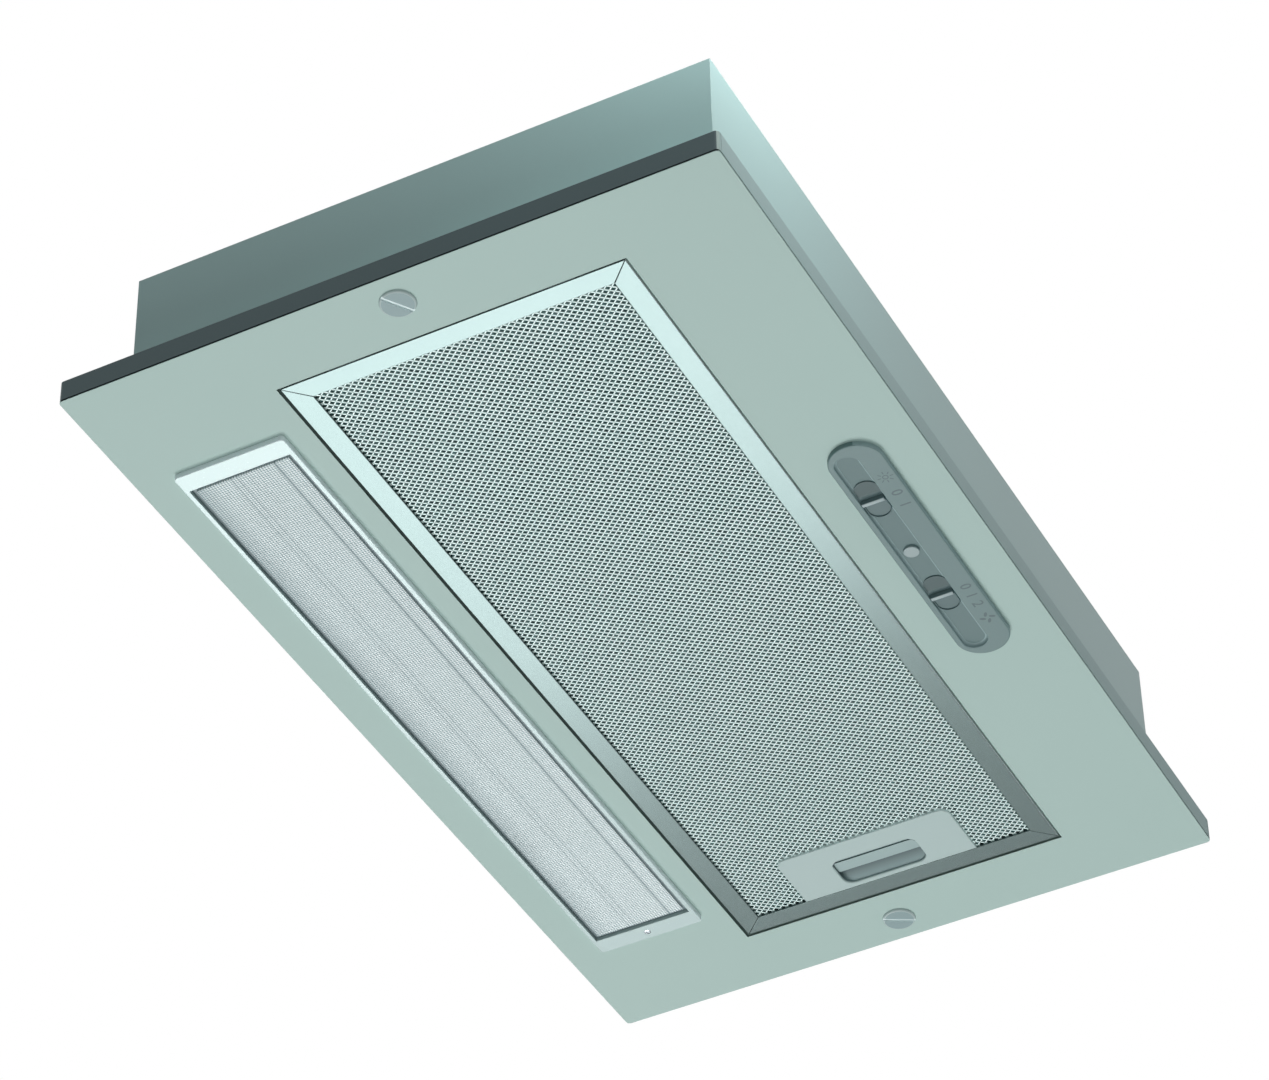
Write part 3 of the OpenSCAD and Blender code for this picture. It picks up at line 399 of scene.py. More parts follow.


# Prismatic lens: a painted highlight on each small pyramid, painted shade in the valleys between
# them, and darker rows along it
def prismMaterial(name, style, cell, place):
    dark, middle, bright = (linear(*color) for color in style["colors"])
    material, tree, shader = newMaterial(name, middle, style["roughness"])
    spot = addMath(tree, "MULTIPLY", addCells(tree, "X", cell[0], place[0]),
        addCells(tree, "Y", cell[1], place[1]))
    ramp = tree.nodes.new("ShaderNodeValToRGB")
    stops = ramp.color_ramp.elements
    stops[1].position, stops[1].color = style["brightFrom"], (*bright, 1)
    stops[0].position, stops[0].color = 0, (*dark, 1)
    stops.new(style["middleAt"]).color = (*middle, 1)
    tree.links.new(spot, ramp.inputs["Fac"])
    # Soft patches where the painted highlights and shade fade to the middle tone, so that no two
    # parts of the lens look quite alike
    shade = mixColors(tree, addRange(tree, addNoise(tree, *style["patches"]), 0,
        style["patchStrength"]), ramp.outputs["Color"], middle)
    placeY = objectAxis(tree, "Y")
    for row, width, strength in style["rows"]:
        distance = addMath(tree, "ABSOLUTE", addMath(tree, "SUBTRACT", placeY, row * mm))
        shade = mixColors(tree, addRange(tree, distance, strength, 0, 0, width * mm), shade, dark)
    tree.links.new(shade, shader.inputs["Base Color"])
    return material


print("stage: materials made")

# The finish of each CAD node that stays
nodeFinish = {
    "platePaint": ["faceplate"],
    "sheetPaint": ["chassis", "knob_receivers", "blower_cover", "motor_bracket"],
    "filterMetal": ["filter_frame"],
    "meshMetal": ["filter_mesh"],
    "gripPlastic": ["knob_left", "knob_right", "filter_handle", "filter_latch"],
    "lampPlastic": ["lamp_cover_frame", "lamp_lens"],
    "controlPlastic": ["control_bezel", "control_pin", "light_slider", "speed_slider"],
    "fanPlastic": ["scroll_front", "scroll_rear", "impeller", "outlet_spigot", "damper_flap_left",
        "damper_flap_right"],
    "offWhite": ["run_capacitor", "terminal_box", "terminal_cover"],
    "screwSteel": ["filter_hooks", "lamp_cover_screw", "reflector_screws", "blower_cover_screws",
        "motor_shaft", "motor_screws", "spigot_screws", "damper_pin", "terminal_screws"],
    "reflectorMetal": ["lamp_reflector"],
    "motorSteel": ["motor"],
    "ceramic": ["lampholder_left", "lampholder_right"],
    "bulbGlass": ["bulb_left", "bulb_right"],
    "rubberBlack": ["motor_grommets", "cable_gland"],
    "switchPlastic": ["light_switch", "speed_switch"],
}
for finish, names in nodeFinish.items():
    for name in names:
        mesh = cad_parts[name].data
        mesh.materials.clear()
        mesh.materials.append(paints[finish])
print("stage: CAD nodes finished")

# Heights and places that several pieces share, in millimetres

def nodeBox(name):
    low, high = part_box(name)
    return low / mm, high / mm


plateLow, plateHigh = nodeBox("faceplate")
plateFace = plateLow.z
filterLow, filterHigh = nodeBox("filter_frame")
filterMiddle = (filterLow + filterHigh) / 2
padLow, padHigh = nodeBox("filter_mesh")
gripLow, gripHigh = nodeBox("filter_handle")

# Expanded metal mesh: rows of zigzag strands that touch at their bends
meshStyle = {
    "border": 10.2,
    "overlap": 2.5,
    "pitch": (3.08, 3.75),
    "strand": (0.93, 0.5),
    "innerPitch": (4.4, 5.2),
    "innerStrand": (1.5, 0.6),
    "frontRise": 0.4,
    "innerRise": 1.3,
    "packRise": 2.2,
    "gripRoom": 0.2,
    "gripCorner": 5,
    "gripOverlap": 0.6,
}


def addExpandedMesh(low, high, pitch, strand, height):
    half = pitch[0] / 2
    # Half a strand: a bar with three sides along X, as wide and thick as the strand
    deselectAll()
    bpy.ops.mesh.primitive_cylinder_add(vertices=3, radius=mm, depth=half * mm,
        end_fill_type="NOTHING", rotation=(0, 0, math.pi / 2))
    wire = bpy.context.object
    applyPlace(wire)
    wire.rotation_euler = (0, math.pi / 2, 0)
    applyPlace(wire)
    wire.location.x = half / 2 * mm
    wire.scale = (1, strand[0] / math.sqrt(3), strand[1] / 1.5)
    applyPlace(wire)
    # The far end of the half strand lies half a diamond further
    pick(wire, "VERT", lambda at: at.x > half / 2)
    moveBy(0, pitch[1] / 2, 0)
    runModifier(wire, "MIRROR", use_axis=(True, False, False), use_mirror_merge=True,
        merge_threshold=0.01 * mm)
    runModifier(wire, "MIRROR", use_axis=(False, True, False), use_mirror_merge=False)
    columns = math.ceil((high[0] - low[0]) / pitch[0])
    rows = math.ceil((high[1] - low[1]) / pitch[1])
    runModifier(wire, "ARRAY", count=columns, use_relative_offset=False,
        use_constant_offset=True, constant_offset_displace=(pitch[0] * mm, 0, 0),
        use_merge_vertices=True, merge_threshold=0.01 * mm)
    runModifier(wire, "ARRAY", count=rows, use_relative_offset=False,
        use_constant_offset=True, constant_offset_displace=(0, pitch[1] * mm, 0))
    middle = [(a + b) / 2 for a, b in zip(low, high)]
    wire.location = ((middle[0] - (columns - 1) * pitch[0] / 2) * mm,
        (middle[1] - (rows - 1) * pitch[1] / 2) * mm, height * mm)
    applyPlace(wire)
    turnOutward(wire)
    return wire


# Takes out the strands that would run through the grip, whose left corners are round
def clearGrip(mesh):
    def isInside(at):
        edge, corner = meshStyle["gripOverlap"], meshStyle["gripCorner"]
        x = max(gripLow.x + corner - at.x, 0)
        y = max(gripLow.y + corner - at.y, at.y - gripHigh.y + corner, 0)
        return math.hypot(x, y) < corner - edge

    pick(mesh, "FACE", lambda at, normal: isInside(at))
    bpy.ops.mesh.delete(type="FACE")
    bpy.ops.object.mode_set(mode="OBJECT")


inset = meshStyle["border"] - meshStyle["overlap"]
meshLow = (filterLow.x + inset, filterLow.y + inset)
meshHigh = (filterHigh.x - inset, filterHigh.y - inset)
frontMesh = addExpandedMesh(meshLow, meshHigh, meshStyle["pitch"], meshStyle["strand"],
    padLow.z + meshStyle["frontRise"])
clearGrip(frontMesh)
finishPiece(frontMesh, "filterMeshFront", "filter", "meshMetal")
innerMesh = addExpandedMesh(meshLow, meshHigh, meshStyle["innerPitch"], meshStyle["innerStrand"],
    padLow.z + meshStyle["innerRise"])
clearGrip(innerMesh)
finishPiece(innerMesh, "filterMeshInner", "filter", "meshShade")

pack = addBlock((padLow.x, padLow.y, padLow.z + meshStyle["packRise"]), padHigh)
room = meshStyle["gripRoom"]
packCut = addBlock((gripLow.x - room, gripLow.y - room, padLow.z - 5),
    (padHigh.x + 5, gripHigh.y + room, padHigh.z + 5))
roundPicked(packCut, meshStyle["gripCorner"], 6, lambda a, b: isUpright(a, b) and a.x < gripLow.x)
cutWith(pack, packCut)
finishPiece(pack, "filterMeshPack", "filter", "packShade", ["filter_mesh"])
print("stage: filter mesh made")

# Filter frame: four mitred channels
frameStyle = {
    "border": 10.2,
    "edge": 0.25,
    "mitreGap": 0.16,
}


def addFrameBar(length):
    depth = frameStyle["border"]
    bar = addBlock((-length / 2, 0, filterLow.z), (length / 2, depth, filterHigh.z))
    for side in (-1, 1):
        pick(bar, "VERT", lambda at: at.y > depth / 2 and at.x * side > 0)
        moveBy(-side * depth, 0, 0)
        pick(bar, "VERT", lambda at: at.x * side > 0)
        moveBy(-side * frameStyle["mitreGap"] / 2, 0, 0)
    roundEdges(bar, frameStyle["edge"], 3)
    return bar


def turnAndPlace(piece, angle, x, y):
    piece.rotation_euler = (0, 0, angle)
    piece.location = (x * mm, y * mm, 0)
    applyPlace(piece)
    return piece


longBar = filterHigh.x - filterLow.x
shortBar = filterHigh.y - filterLow.y
filterFrame = joinPieces([
    turnAndPlace(addFrameBar(longBar), 0, filterMiddle.x, filterLow.y),
    turnAndPlace(addFrameBar(longBar), math.pi, filterMiddle.x, filterHigh.y),
    turnAndPlace(addFrameBar(shortBar), -math.pi / 2, filterLow.x, filterMiddle.y),
    turnAndPlace(addFrameBar(shortBar), math.pi / 2, filterHigh.x, filterMiddle.y),
])
finishPiece(filterFrame, "filterFrame", "filter", "filterMetal",
    ["filter_frame"])
# The outer side facing -Y takes painted light
paintFaces(filterFrame, ["frameSidePaintedLight"],
    lambda at, normal: normal.y < -0.7 and at.y < filterLow.y + 0.3)
print("stage: filter frame made")

# Grip plate: the finger pocket slopes down to the latch, whose face shows in its left half
gripStyle = {
    "right": 211.5,
    "corner": 5,
    "rim": 0.35,
    "pocketLow": (189.4, -32.5),
    "pocketHigh": (208.5, 10.5),
    "pocketCorner": 5,
    "pocketRim": 0.7,
    "pocketLip": 0.8,
    "roof": 1.2,
    "floor": 1.2,
    "latchWidth": 9.1,
    "latchTravel": 4,
    "play": 0.3,
    "tongue": (0.5, 2),
    "tongueRise": (0.8, 2.6),
    "tongueRim": 0.2,
    "fade": (200.5, 208),
    "fadeColors": ((46, 66, 69), (126, 150, 151)),
}
latchLow, latchHigh = nodeBox("filter_latch")
pocketLow, pocketHigh = gripStyle["pocketLow"], gripStyle["pocketHigh"]
pocketTop = gripHigh.z - gripStyle["roof"]
grip = addBlock(gripLow, (gripStyle["right"], gripHigh.y, gripHigh.z))
roundPicked(grip, gripStyle["corner"], 8, lambda a, b: isUpright(a, b) and a.x < gripLow.x + 1)
roundRim(grip, gripStyle["rim"], 3, gripLow.z)
pocketStart = pocketLow[0] + gripStyle["latchWidth"] + gripStyle["play"]
rampRise = pocketTop - gripLow.z - gripStyle["pocketLip"]
rampRun = pocketHigh[0] + 1 - pocketStart
ramp = addBlock((pocketStart - 1, pocketLow[1] - 1, gripLow.z + gripStyle["pocketLip"]),
    (pocketHigh[0] + 1, pocketHigh[1] + 1, gripHigh.z + 2))
pick(ramp, "VERT", lambda at: at.x < pocketStart and at.z < gripHigh.z)
moveBy(0, 0, rampRise * (rampRun + 1) / rampRun)
pocket = addRounded((*pocketLow, gripLow.z - 3), (*pocketHigh, pocketTop),
    gripStyle["pocketCorner"])
cutWith(pocket, ramp)
cutWith(grip, pocket)
roundPicked(grip, gripStyle["pocketRim"], 3, lambda a, b: onRing(a, b, pocketLow, pocketHigh,
    gripLow.z))
gripPlay = gripStyle["play"]
cutWith(grip, addBlock((pocketLow[0] - gripStyle["latchTravel"] - gripPlay,
    latchLow.y - gripPlay, gripLow.z + gripStyle["floor"]),
    (pocketStart, latchHigh.y + gripPlay, gripHigh.z + 1)))
tongueOverlap, tongueSide = gripStyle["tongue"]
tongueRise = gripStyle["tongueRise"]
tongue = addBlock((gripStyle["right"] - tongueOverlap, gripLow.y + tongueSide,
    gripLow.z + tongueRise[0]), (gripHigh.x, gripHigh.y - tongueSide, gripLow.z + tongueRise[1]))
roundEdges(tongue, gripStyle["tongueRim"], 2)
grip = finishPiece(joinPieces([grip, tongue]), "filterGrip", "filter",
    "gripPlastic", ["filter_handle"])
paints["pocketShade"] = fadedMaterial("pocketShade", "X", *gripStyle["fade"],
    *(linear(*color) for color in gripStyle["fadeColors"]), 0.5)


# Faces by place: the rim at the pocket's -X side takes painted shade, the pocket painted shade that
# grows lighter along X, and the side walls painted light
def gripFinish(at, normal):
    inPocket = (pocketLow[0] - 0.1 < at.x < pocketHigh[0] + 0.1
        and pocketLow[1] - 0.1 < at.y < pocketHigh[1] + 0.1)
    rise = at.z - gripLow.z
    if inPocket and 0 < rise < gripStyle["pocketLip"] and abs(normal.z) < 0.98:
        return 3 if normal.x > 0.1 else 0
    if inPocket and rise > 0.01:
        return 2
    return rise > 0.1 and normal.z > -0.6 and normal.x < 0.1


paintFaces(grip, ["gripWallPaintedLight", "pocketShade", "rimShade"], gripFinish)

# Sliding latch: the flat face for the finger, the plate over the grip and the bolt
latchStyle = {
    "rim": 0.15,
    "step": (192.3, 0.7),
    "sheet": 1.2,
    "bolt": (16, 3.2),
    "boltStart": 215.8,
    "boltCorner": 1.2,
    "overlap": 1.7,
}
latchTop = latchHigh.z - latchStyle["sheet"]
latchFace = addBlock((latchLow.x, latchLow.y, latchLow.z),
    (latchLow.x + gripStyle["latchWidth"], latchHigh.y, latchTop))
cutWith(latchFace, addBlock((latchLow.x - 1, latchLow.y - 1, latchLow.z - 1),
    (latchStyle["step"][0], latchHigh.y + 1, latchLow.z + latchStyle["step"][1])))
roundRim(latchFace, latchStyle["rim"], 3, latchLow.z)
latchPlate = addBlock((latchLow.x, latchLow.y, latchTop),
    (latchStyle["boltStart"] + latchStyle["overlap"], latchHigh.y, latchHigh.z))
latchMiddle = (latchLow.y + latchHigh.y) / 2
boltDepth, boltHeight = latchStyle["bolt"]
bolt = addBlock((latchStyle["boltStart"], latchMiddle - boltDepth / 2, latchTop - boltHeight),
    (latchHigh.x, latchMiddle + boltDepth / 2, latchHigh.z))
roundPicked(bolt, latchStyle["boltCorner"], 3,
    lambda a, b: isUpright(a, b) and a.x > latchHigh.x - 0.1)
latch = finishPiece(joinPieces([latchFace, latchPlate, bolt]), "filterLatch", "latch",
    "latchPlastic", ["filter_latch"])
paintFaces(latch, ["rimShade"],
    lambda at, normal: at.x < latchStyle["step"][0] + 0.01 and normal.x < -0.8)
print("stage: filter grip made")

# Lamp cover: a frame with soft edges, a skirt behind the faceplate and a ledge for the lens
coverStyle = {
    "corner": 2,
    "rim": 0.3,
    "window": (187.5, 25.2),
    "windowRim": 0.15,
    "ledge": 2.6,
    "ledgeSheet": 1.2,
    "lensPlay": 0.1,
    "overlap": 0.5,
    "skirt": 1.2,
    "screwX": 192.5,
    "screwHole": 1.7,
}
coverLow, coverHigh = nodeBox("lamp_cover_frame")
lensLow, lensHigh = nodeBox("lamp_lens")
coverY = (coverLow.y + coverHigh.y) / 2
windowX, windowY = coverStyle["window"]
windowLow, windowHigh = (-windowX, coverY - windowY), (windowX, coverY + windowY)
coverFrame = addRounded(coverLow, (coverHigh.x, coverHigh.y, plateFace), coverStyle["corner"],
    coverStyle["rim"])


# A block over the lamp window, larger than it by a given margin
def addWindowBlock(margin, bottom, top):
    return addBlock((windowLow[0] - margin, windowLow[1] - margin, bottom),
        (windowHigh[0] + margin, windowHigh[1] + margin, top))


cutWith(coverFrame, addWindowBlock(0, coverLow.z - 1, plateFace + 1))
roundPicked(coverFrame, coverStyle["windowRim"], 2,
    lambda a, b: onRing(a, b, windowLow, windowHigh, coverLow.z))
cutWith(coverFrame, addRod((coverStyle["screwX"], coverY, coverLow.z), coverStyle["screwHole"], 12))
skirt = addWindowBlock(coverStyle["skirt"], plateFace, coverHigh.z)
cutWith(skirt, addWindowBlock(0, plateFace - 1, coverHigh.z + 1))
ledgeLow = lensHigh.z + coverStyle["lensPlay"]
ledge = addWindowBlock(coverStyle["overlap"], ledgeLow, ledgeLow + coverStyle["ledgeSheet"])
cutWith(ledge, addWindowBlock(-coverStyle["ledge"], lensHigh.z - 1, lensHigh.z + 3))
coverFrame = finishPiece(joinPieces([coverFrame, skirt, ledge]), "lampCoverFrame", "hood",
    "lampPlastic", ["lamp_cover_frame"])


# The outer walls take painted light
def coverFinish(at, normal):
    corner = coverStyle["corner"]
    isOuter = (abs(at.x) > coverHigh.x - corner
        or abs(at.y - coverY) > coverHigh.y - coverY - corner)
    return isOuter and abs(normal.z) < 0.8 and at.z < plateFace


paintFaces(coverFrame, ["coverWallPaintedLight"], coverFinish)
print("stage: lamp cover frame made")

# Lens: rows of small pyramids inside a groove, and darker lines along it
lensStyle = {
    "groove": 2.2,
    "grooveDepth": 1.2,
    "cells": (288, 36),
    "pyramid": 0.25,
    "wall": 1.4,
    "edgeStart": 1.8,
    "edge": (0.8, 0.2),
    "skirtPlay": 0.1,
    "skirtHeight": 2,
    "skirt": (0.5, 0.2),
    # Painted valley shade, middle tone and painted highlight of the lens
    "colors": ((96, 122, 127), (220, 240, 242), (252, 255, 255)),
    "roughness": 0.22,
    "middleAt": 0.12,
    "brightFrom": 0.5,
    "patches": (24, 3),
    "patchStrength": 0.35,
    "rows": ((94.6, 1.0, 0.75), (113.5, 0.8, 0.3), (116.5, 0.8, 0.3), (134.5, 10, 0.4)),
}
lensHalf = (windowX - lensStyle["groove"], windowY - lensStyle["groove"])
lensPitch = [2 * size / count for size, count in zip(lensHalf, lensStyle["cells"])]
paints["lensClear"] = prismMaterial("lensClear", lensStyle, lensPitch, (0, coverY))
deselectAll()
bpy.ops.mesh.primitive_grid_add(x_subdivisions=lensStyle["cells"][0],
    y_subdivisions=lensStyle["cells"][1], size=2 * mm,
    location=(0, coverY * mm, (lensLow.z + lensStyle["pyramid"]) * mm), rotation=(math.pi, 0, 0))
lens = bpy.context.object
lens.scale = (lensHalf[0], lensHalf[1], 1)
applyPlace(lens)
pick(lens, "FACE", lambda at, normal: True)
bpy.ops.mesh.poke(offset=lensStyle["pyramid"] * mm)
bpy.ops.mesh.select_mode(type="EDGE")
bpy.ops.mesh.select_all(action="DESELECT")
bpy.ops.mesh.select_non_manifold(extend=False, use_wire=False, use_boundary=True,
    use_multi_face=False, use_non_contiguous=False, use_verts=False)
bpy.ops.mesh.extrude_edges_move(TRANSFORM_OT_translate={
    "value": (0, 0, (lensStyle["wall"] - lensStyle["pyramid"]) * mm)})
bpy.ops.mesh.edge_face_add()
bpy.ops.object.mode_set(mode="OBJECT")
turnOutward(lens)
finishPiece(lens, "lampLensFace", "hood", "lensClear", smooth=5)
lensEdge = addRounded((lensLow.x, lensLow.y, lensLow.z + lensStyle["edgeStart"]), lensHigh,
    *lensStyle["edge"], 4, 2)
skirtPlay = lensStyle["skirtPlay"]
lensSkirt = addRounded((windowLow[0] + skirtPlay, windowLow[1] + skirtPlay,
    lensLow.z + lensStyle["grooveDepth"]), (windowHigh[0] - skirtPlay, windowHigh[1] - skirtPlay,
    lensLow.z + lensStyle["skirtHeight"]), *lensStyle["skirt"], 4, 2)
# The lens edge and skirt take painted shade
finishPiece(joinPieces([lensEdge, lensSkirt]), "lampLensEdge", "hood", "lensEdgePaintedShade",
    ["lamp_lens"])
print("stage: lamp lens made")

# Screw of the lamp cover, with a crossed recess
coverScrewStyle = {
    "head": (1.75, 1.2, 0.55),
    "proud": 0.05,
    "cross": (2.6, 0.5, 0.35),
    "shank": (1.2, 7, 4.5),
}
screwX = coverStyle["screwX"]
headLow = coverLow.z - coverScrewStyle["proud"]
headRadius, headHeight, headRim = coverScrewStyle["head"]
coverScrew = addRod((screwX, coverY, headLow + headHeight / 2), headRadius, headHeight, sides=24)
roundRim(coverScrew, headRim, 4, headLow)
crossLength, crossWidth, crossDepth = coverScrewStyle["cross"]
for sizeX, sizeY in ((crossLength, crossWidth), (crossWidth, crossLength)):
    cutWith(coverScrew, addBlock((screwX - sizeX / 2, coverY - sizeY / 2, headLow - 1),
        (screwX + sizeX / 2, coverY + sizeY / 2, headLow + crossDepth)))
shankRadius, shankLength, shankMiddle = coverScrewStyle["shank"]
shank = addRod((screwX, coverY, headLow + shankMiddle), shankRadius, shankLength, sides=16)
finishPiece(joinPieces([coverScrew, shank]), "lampCoverScrew", "hood",
    "screwSteel", ["lamp_cover_screw"])

# Control panel: the long oval bezel with its sunken track
bezelStyle = {
    "rim": 0.6,
    "middleY": -124.6,
    "track": (72, 5.9),
    "trackY": -120.6,
    "trackDepth": 2,
    "trackRim": 0.3,
    "trackFillet": 1.1,
    "tubWall": 1.5,
    "tubOverlap": 0.3,
    "slots": ((-47.9, -31.8), (23.7, 43.3)),
    "slotWidth": 4.6,
}
bezelLow, bezelHigh = nodeBox("control_bezel")
bezelDepth = 2 * (bezelStyle["middleY"] - bezelLow.y)
trackY = bezelStyle["trackY"]
trackX, trackHalf = bezelStyle["track"]
bezel = addStadium((bezelLow.x, bezelLow.y, bezelLow.z),
    (bezelHigh.x, bezelLow.y + bezelDepth, plateFace), bezelStyle["rim"], 4)
tubWall = bezelStyle["tubWall"]
tub = addStadium((-trackX - tubWall, trackY - trackHalf - tubWall,
    plateFace - bezelStyle["tubOverlap"]),
    (trackX + tubWall, trackY + trackHalf + tubWall, bezelHigh.z))
uniteWith(bezel, tub)
trackFloor = bezelLow.z + bezelStyle["trackDepth"]
track = addStadium((-trackX, trackY - trackHalf, bezelLow.z - 2), (trackX, trackY + trackHalf,
    trackFloor))
roundPicked(track, bezelStyle["trackFillet"], 4, lambda a, b: min(a.z, b.z) > trackFloor - 0.01)
cutWith(bezel, track)
roundPicked(bezel, bezelStyle["trackRim"], 3, lambda a, b: onRing(a, b,
    (-trackX, trackY - trackHalf), (trackX, trackY + trackHalf), bezelLow.z))
for slotLow, slotHigh in bezelStyle["slots"]:
    cutWith(bezel, addBlock((slotLow, trackY - bezelStyle["slotWidth"] / 2, bezelLow.z),
        (slotHigh, trackY + bezelStyle["slotWidth"] / 2, bezelHigh.z + 1)))
finishPiece(bezel, "controlBezel", "hood", "controlPlastic",
    ["control_bezel"])


# The track floor takes painted shade, the track walls and the outer walls facing -Y painted light
def bezelFinish(at, normal):
    inTrack = abs(at.x) < trackX + 0.1 and abs(at.y - trackY) < trackHalf + 0.1
    if inTrack and abs(at.z - trackFloor) < 0.01:
        return 1
    if inTrack:
        return 2 if bezelLow.z + 0.05 < at.z < trackFloor else 0
    return 2 if at.z < plateFace and normal.y < -0.3 and normal.z > -0.8 else 0


paintFaces(bezel, ["trackShade", "bezelWallPaintedLight"], bezelFinish)
print("stage: control bezel made")

# Slide controls: a button with round ends, a ridge with a painted highlight on its top, and a scoop
# that slopes down to it
sliderStyle = {
    "face": 0.5,
    "rim": 0.35,
    "ridge": 2.2,
    "ridgeRim": 0.5,
    "ridgeInset": 0.2,
    "ridgeFoot": 0.8,
    "ridgeX": (-40.6, 31),
    # Depth of the ridge's top that takes the painted highlight
    "ridgeHighlightDepth": 0.4,
    "scoop": (10.9, 1.0, 1.15, 6),
    # Painted shade in the scoop: dark over most of it, lighter over the last few millimetres before
    # the ridge
    "fade": (3, 0.3),
    "fadeColors": ((57, 80, 81), (97, 119, 121)),
    "stemShift": -4,
    "dish": (0.6, 0.45),
    "rimFrom": 3,
    "stem": (6, 4),
    "stemOverlap": 0.2,
    "play": 0.05,
}


def addSlider(node, name, body, ridgeX):
    low, high = nodeBox(node)
    half = sliderStyle["ridge"] / 2
    faceZ = bezelLow.z + sliderStyle["face"]
    floorZ = trackFloor - sliderStyle["play"]
    button = addStadium((low.x, low.y, faceZ), (high.x, high.y, floorZ), sliderStyle["rim"], 3)
    length, scoopRim, depth, slope = sliderStyle["scoop"]
    scoop = addBlock((ridgeX - half - length + slope, low.y - 2, faceZ - 1), (ridgeX - half,
        high.y + 2, faceZ + depth))
    pick(scoop, "FACE", lambda at, normal: normal.x < -0.9)
    bpy.ops.mesh.extrude_region_move(TRANSFORM_OT_translate={"value": (-(slope + 1) * mm, 0, 0)})
    bpy.ops.object.mode_set(mode="OBJECT")
    pick(scoop, "VERT", lambda at: at.z > faceZ and at.x < ridgeX - half - length)
    moveBy(0, 0, (scoopRim - depth) * (slope + 1) / slope)
    cutWith(button, scoop)
    inset, dishDepth = sliderStyle["dish"]
    cutWith(button, addStadium((low.x + inset, low.y + inset, faceZ - 1), (high.x - inset,
        high.y - inset, faceZ + dishDepth)))
    ridgeInset = sliderStyle["ridgeInset"]
    ridge = addBlock((ridgeX - half, low.y + ridgeInset, low.z), (ridgeX + half,
        high.y - ridgeInset, faceZ + sliderStyle["ridgeFoot"]))
    roundRim(ridge, sliderStyle["ridgeRim"], 4, low.z)
    stemX = ridgeX + sliderStyle["stemShift"]
    stemLength, stemDepth = sliderStyle["stem"]
    stem = addBlock((stemX - stemLength / 2, trackY - stemDepth / 2,
        floorZ - sliderStyle["stemOverlap"]),
        (stemX + stemLength / 2, trackY + stemDepth / 2, high.z))
    slider = finishPiece(joinPieces([button, ridge, stem]), name, body,
        "buttonPlastic", [node])
    # Painted shade for the scoop, lighter close to the ridge
    fadeStart, fadeEnd = (ridgeX - half - distance for distance in sliderStyle["fade"])
    paints[name + "ScoopPaintedShade"] = fadedMaterial(name + "ScoopPaintedShade", "X", fadeStart, fadeEnd,
        *(linear(*color) for color in sliderStyle["fadeColors"]), 0.5)

    def sliderFinish(at, normal):
        # The top of the ridge takes a painted highlight, the rim of the far round end painted
        # shade, and the scoop its painted shade
        fromRidge = at.x - ridgeX
        if abs(fromRidge) < half and at.z < low.z + sliderStyle["ridgeHighlightDepth"]:
            return 1
        isRim = fromRidge > half + sliderStyle["rimFrom"] and at.z < floorZ
        if isRim and normal.z > -0.95 and normal.x < 0:
            return 2
        return 3 if fromRidge < 0.01 - half and at.z < floorZ else 0

    paintFaces(slider, ["ridgePaintedHighlight", "rimShade", name + "ScoopPaintedShade"], sliderFinish)


lightRidge, speedRidge = sliderStyle["ridgeX"]
addSlider("light_slider", "lightSlider", "light_control", lightRidge)
addSlider("speed_slider", "speedSlider", "speed_control", speedRidge)

# Round pin in the middle of the track
pinStyle = {
    "rim": 0.4,
    "sides": 40,
}
pinLow, pinHigh = nodeBox("control_pin")
pinMiddle = (pinLow + pinHigh) / 2
pin = addRod((pinMiddle.x, trackY, pinMiddle.z), (pinHigh.x - pinLow.x) / 2,
    pinHigh.z - pinLow.z, sides=pinStyle["sides"])
roundRim(pin, pinStyle["rim"], 4, pinLow.z)
finishPiece(pin, "controlPin", "hood", "pinPlastic", ["control_pin"])
print("stage: slide controls made")

# Generic marks beside the controls
markStyle = {
    "size": 7.4,
    "offset": 0.05,
    "middleY": -132,
    "digits": (("0", -41), ("1", -32.4), ("0", 30.6), ("1", 37.4), ("2", 44)),
    "thickness": 0.03,
    "sun": (-52.4, 1.4, 8, (2.1, 3.7, 0.42)),
    "fan": (54.8, 4, 2.3, (1.55, 0.75), 28),
}
markY, markThickness = markStyle["middleY"], markStyle["thickness"]
marks = []
for digit, x in markStyle["digits"]:
    deselectAll()
    bpy.ops.object.text_add(rotation=(math.pi, 0, 0))
    mark = bpy.context.object
    mark.data.body = digit
    mark.data.align_x = "CENTER"
    mark.data.align_y = "CENTER"
    mark.data.size = markStyle["size"] * mm
    mark.data.offset = markStyle["offset"] * mm
    mark.data.extrude = markThickness / 2 * mm
    mark.data.resolution_u = 3
    bpy.ops.object.convert(target="MESH")
    mark.location = (x * mm, markY * mm, bezelLow.z * mm)
    applyPlace(mark)
    marks.append(mark)
# Lamp sign: a ring with short rays
sunX, sunRadius, rayCount, rayShape = markStyle["sun"]
rayStart, rayEnd, rayWidth = rayShape
sun = addRod((sunX, markY, bezelLow.z), sunRadius, markThickness, sides=24)
cutWith(sun, addRod((sunX, markY, bezelLow.z), sunRadius - rayWidth, 2, sides=24))
marks.append(sun)
for ray in range(rayCount):
    beam = addBlock((rayStart, -rayWidth / 2, bezelLow.z - markThickness / 2),
        (rayEnd, rayWidth / 2, bezelLow.z + markThickness / 2))
    marks.append(turnAndPlace(beam, ray * 2 * math.pi / rayCount, sunX, markY))
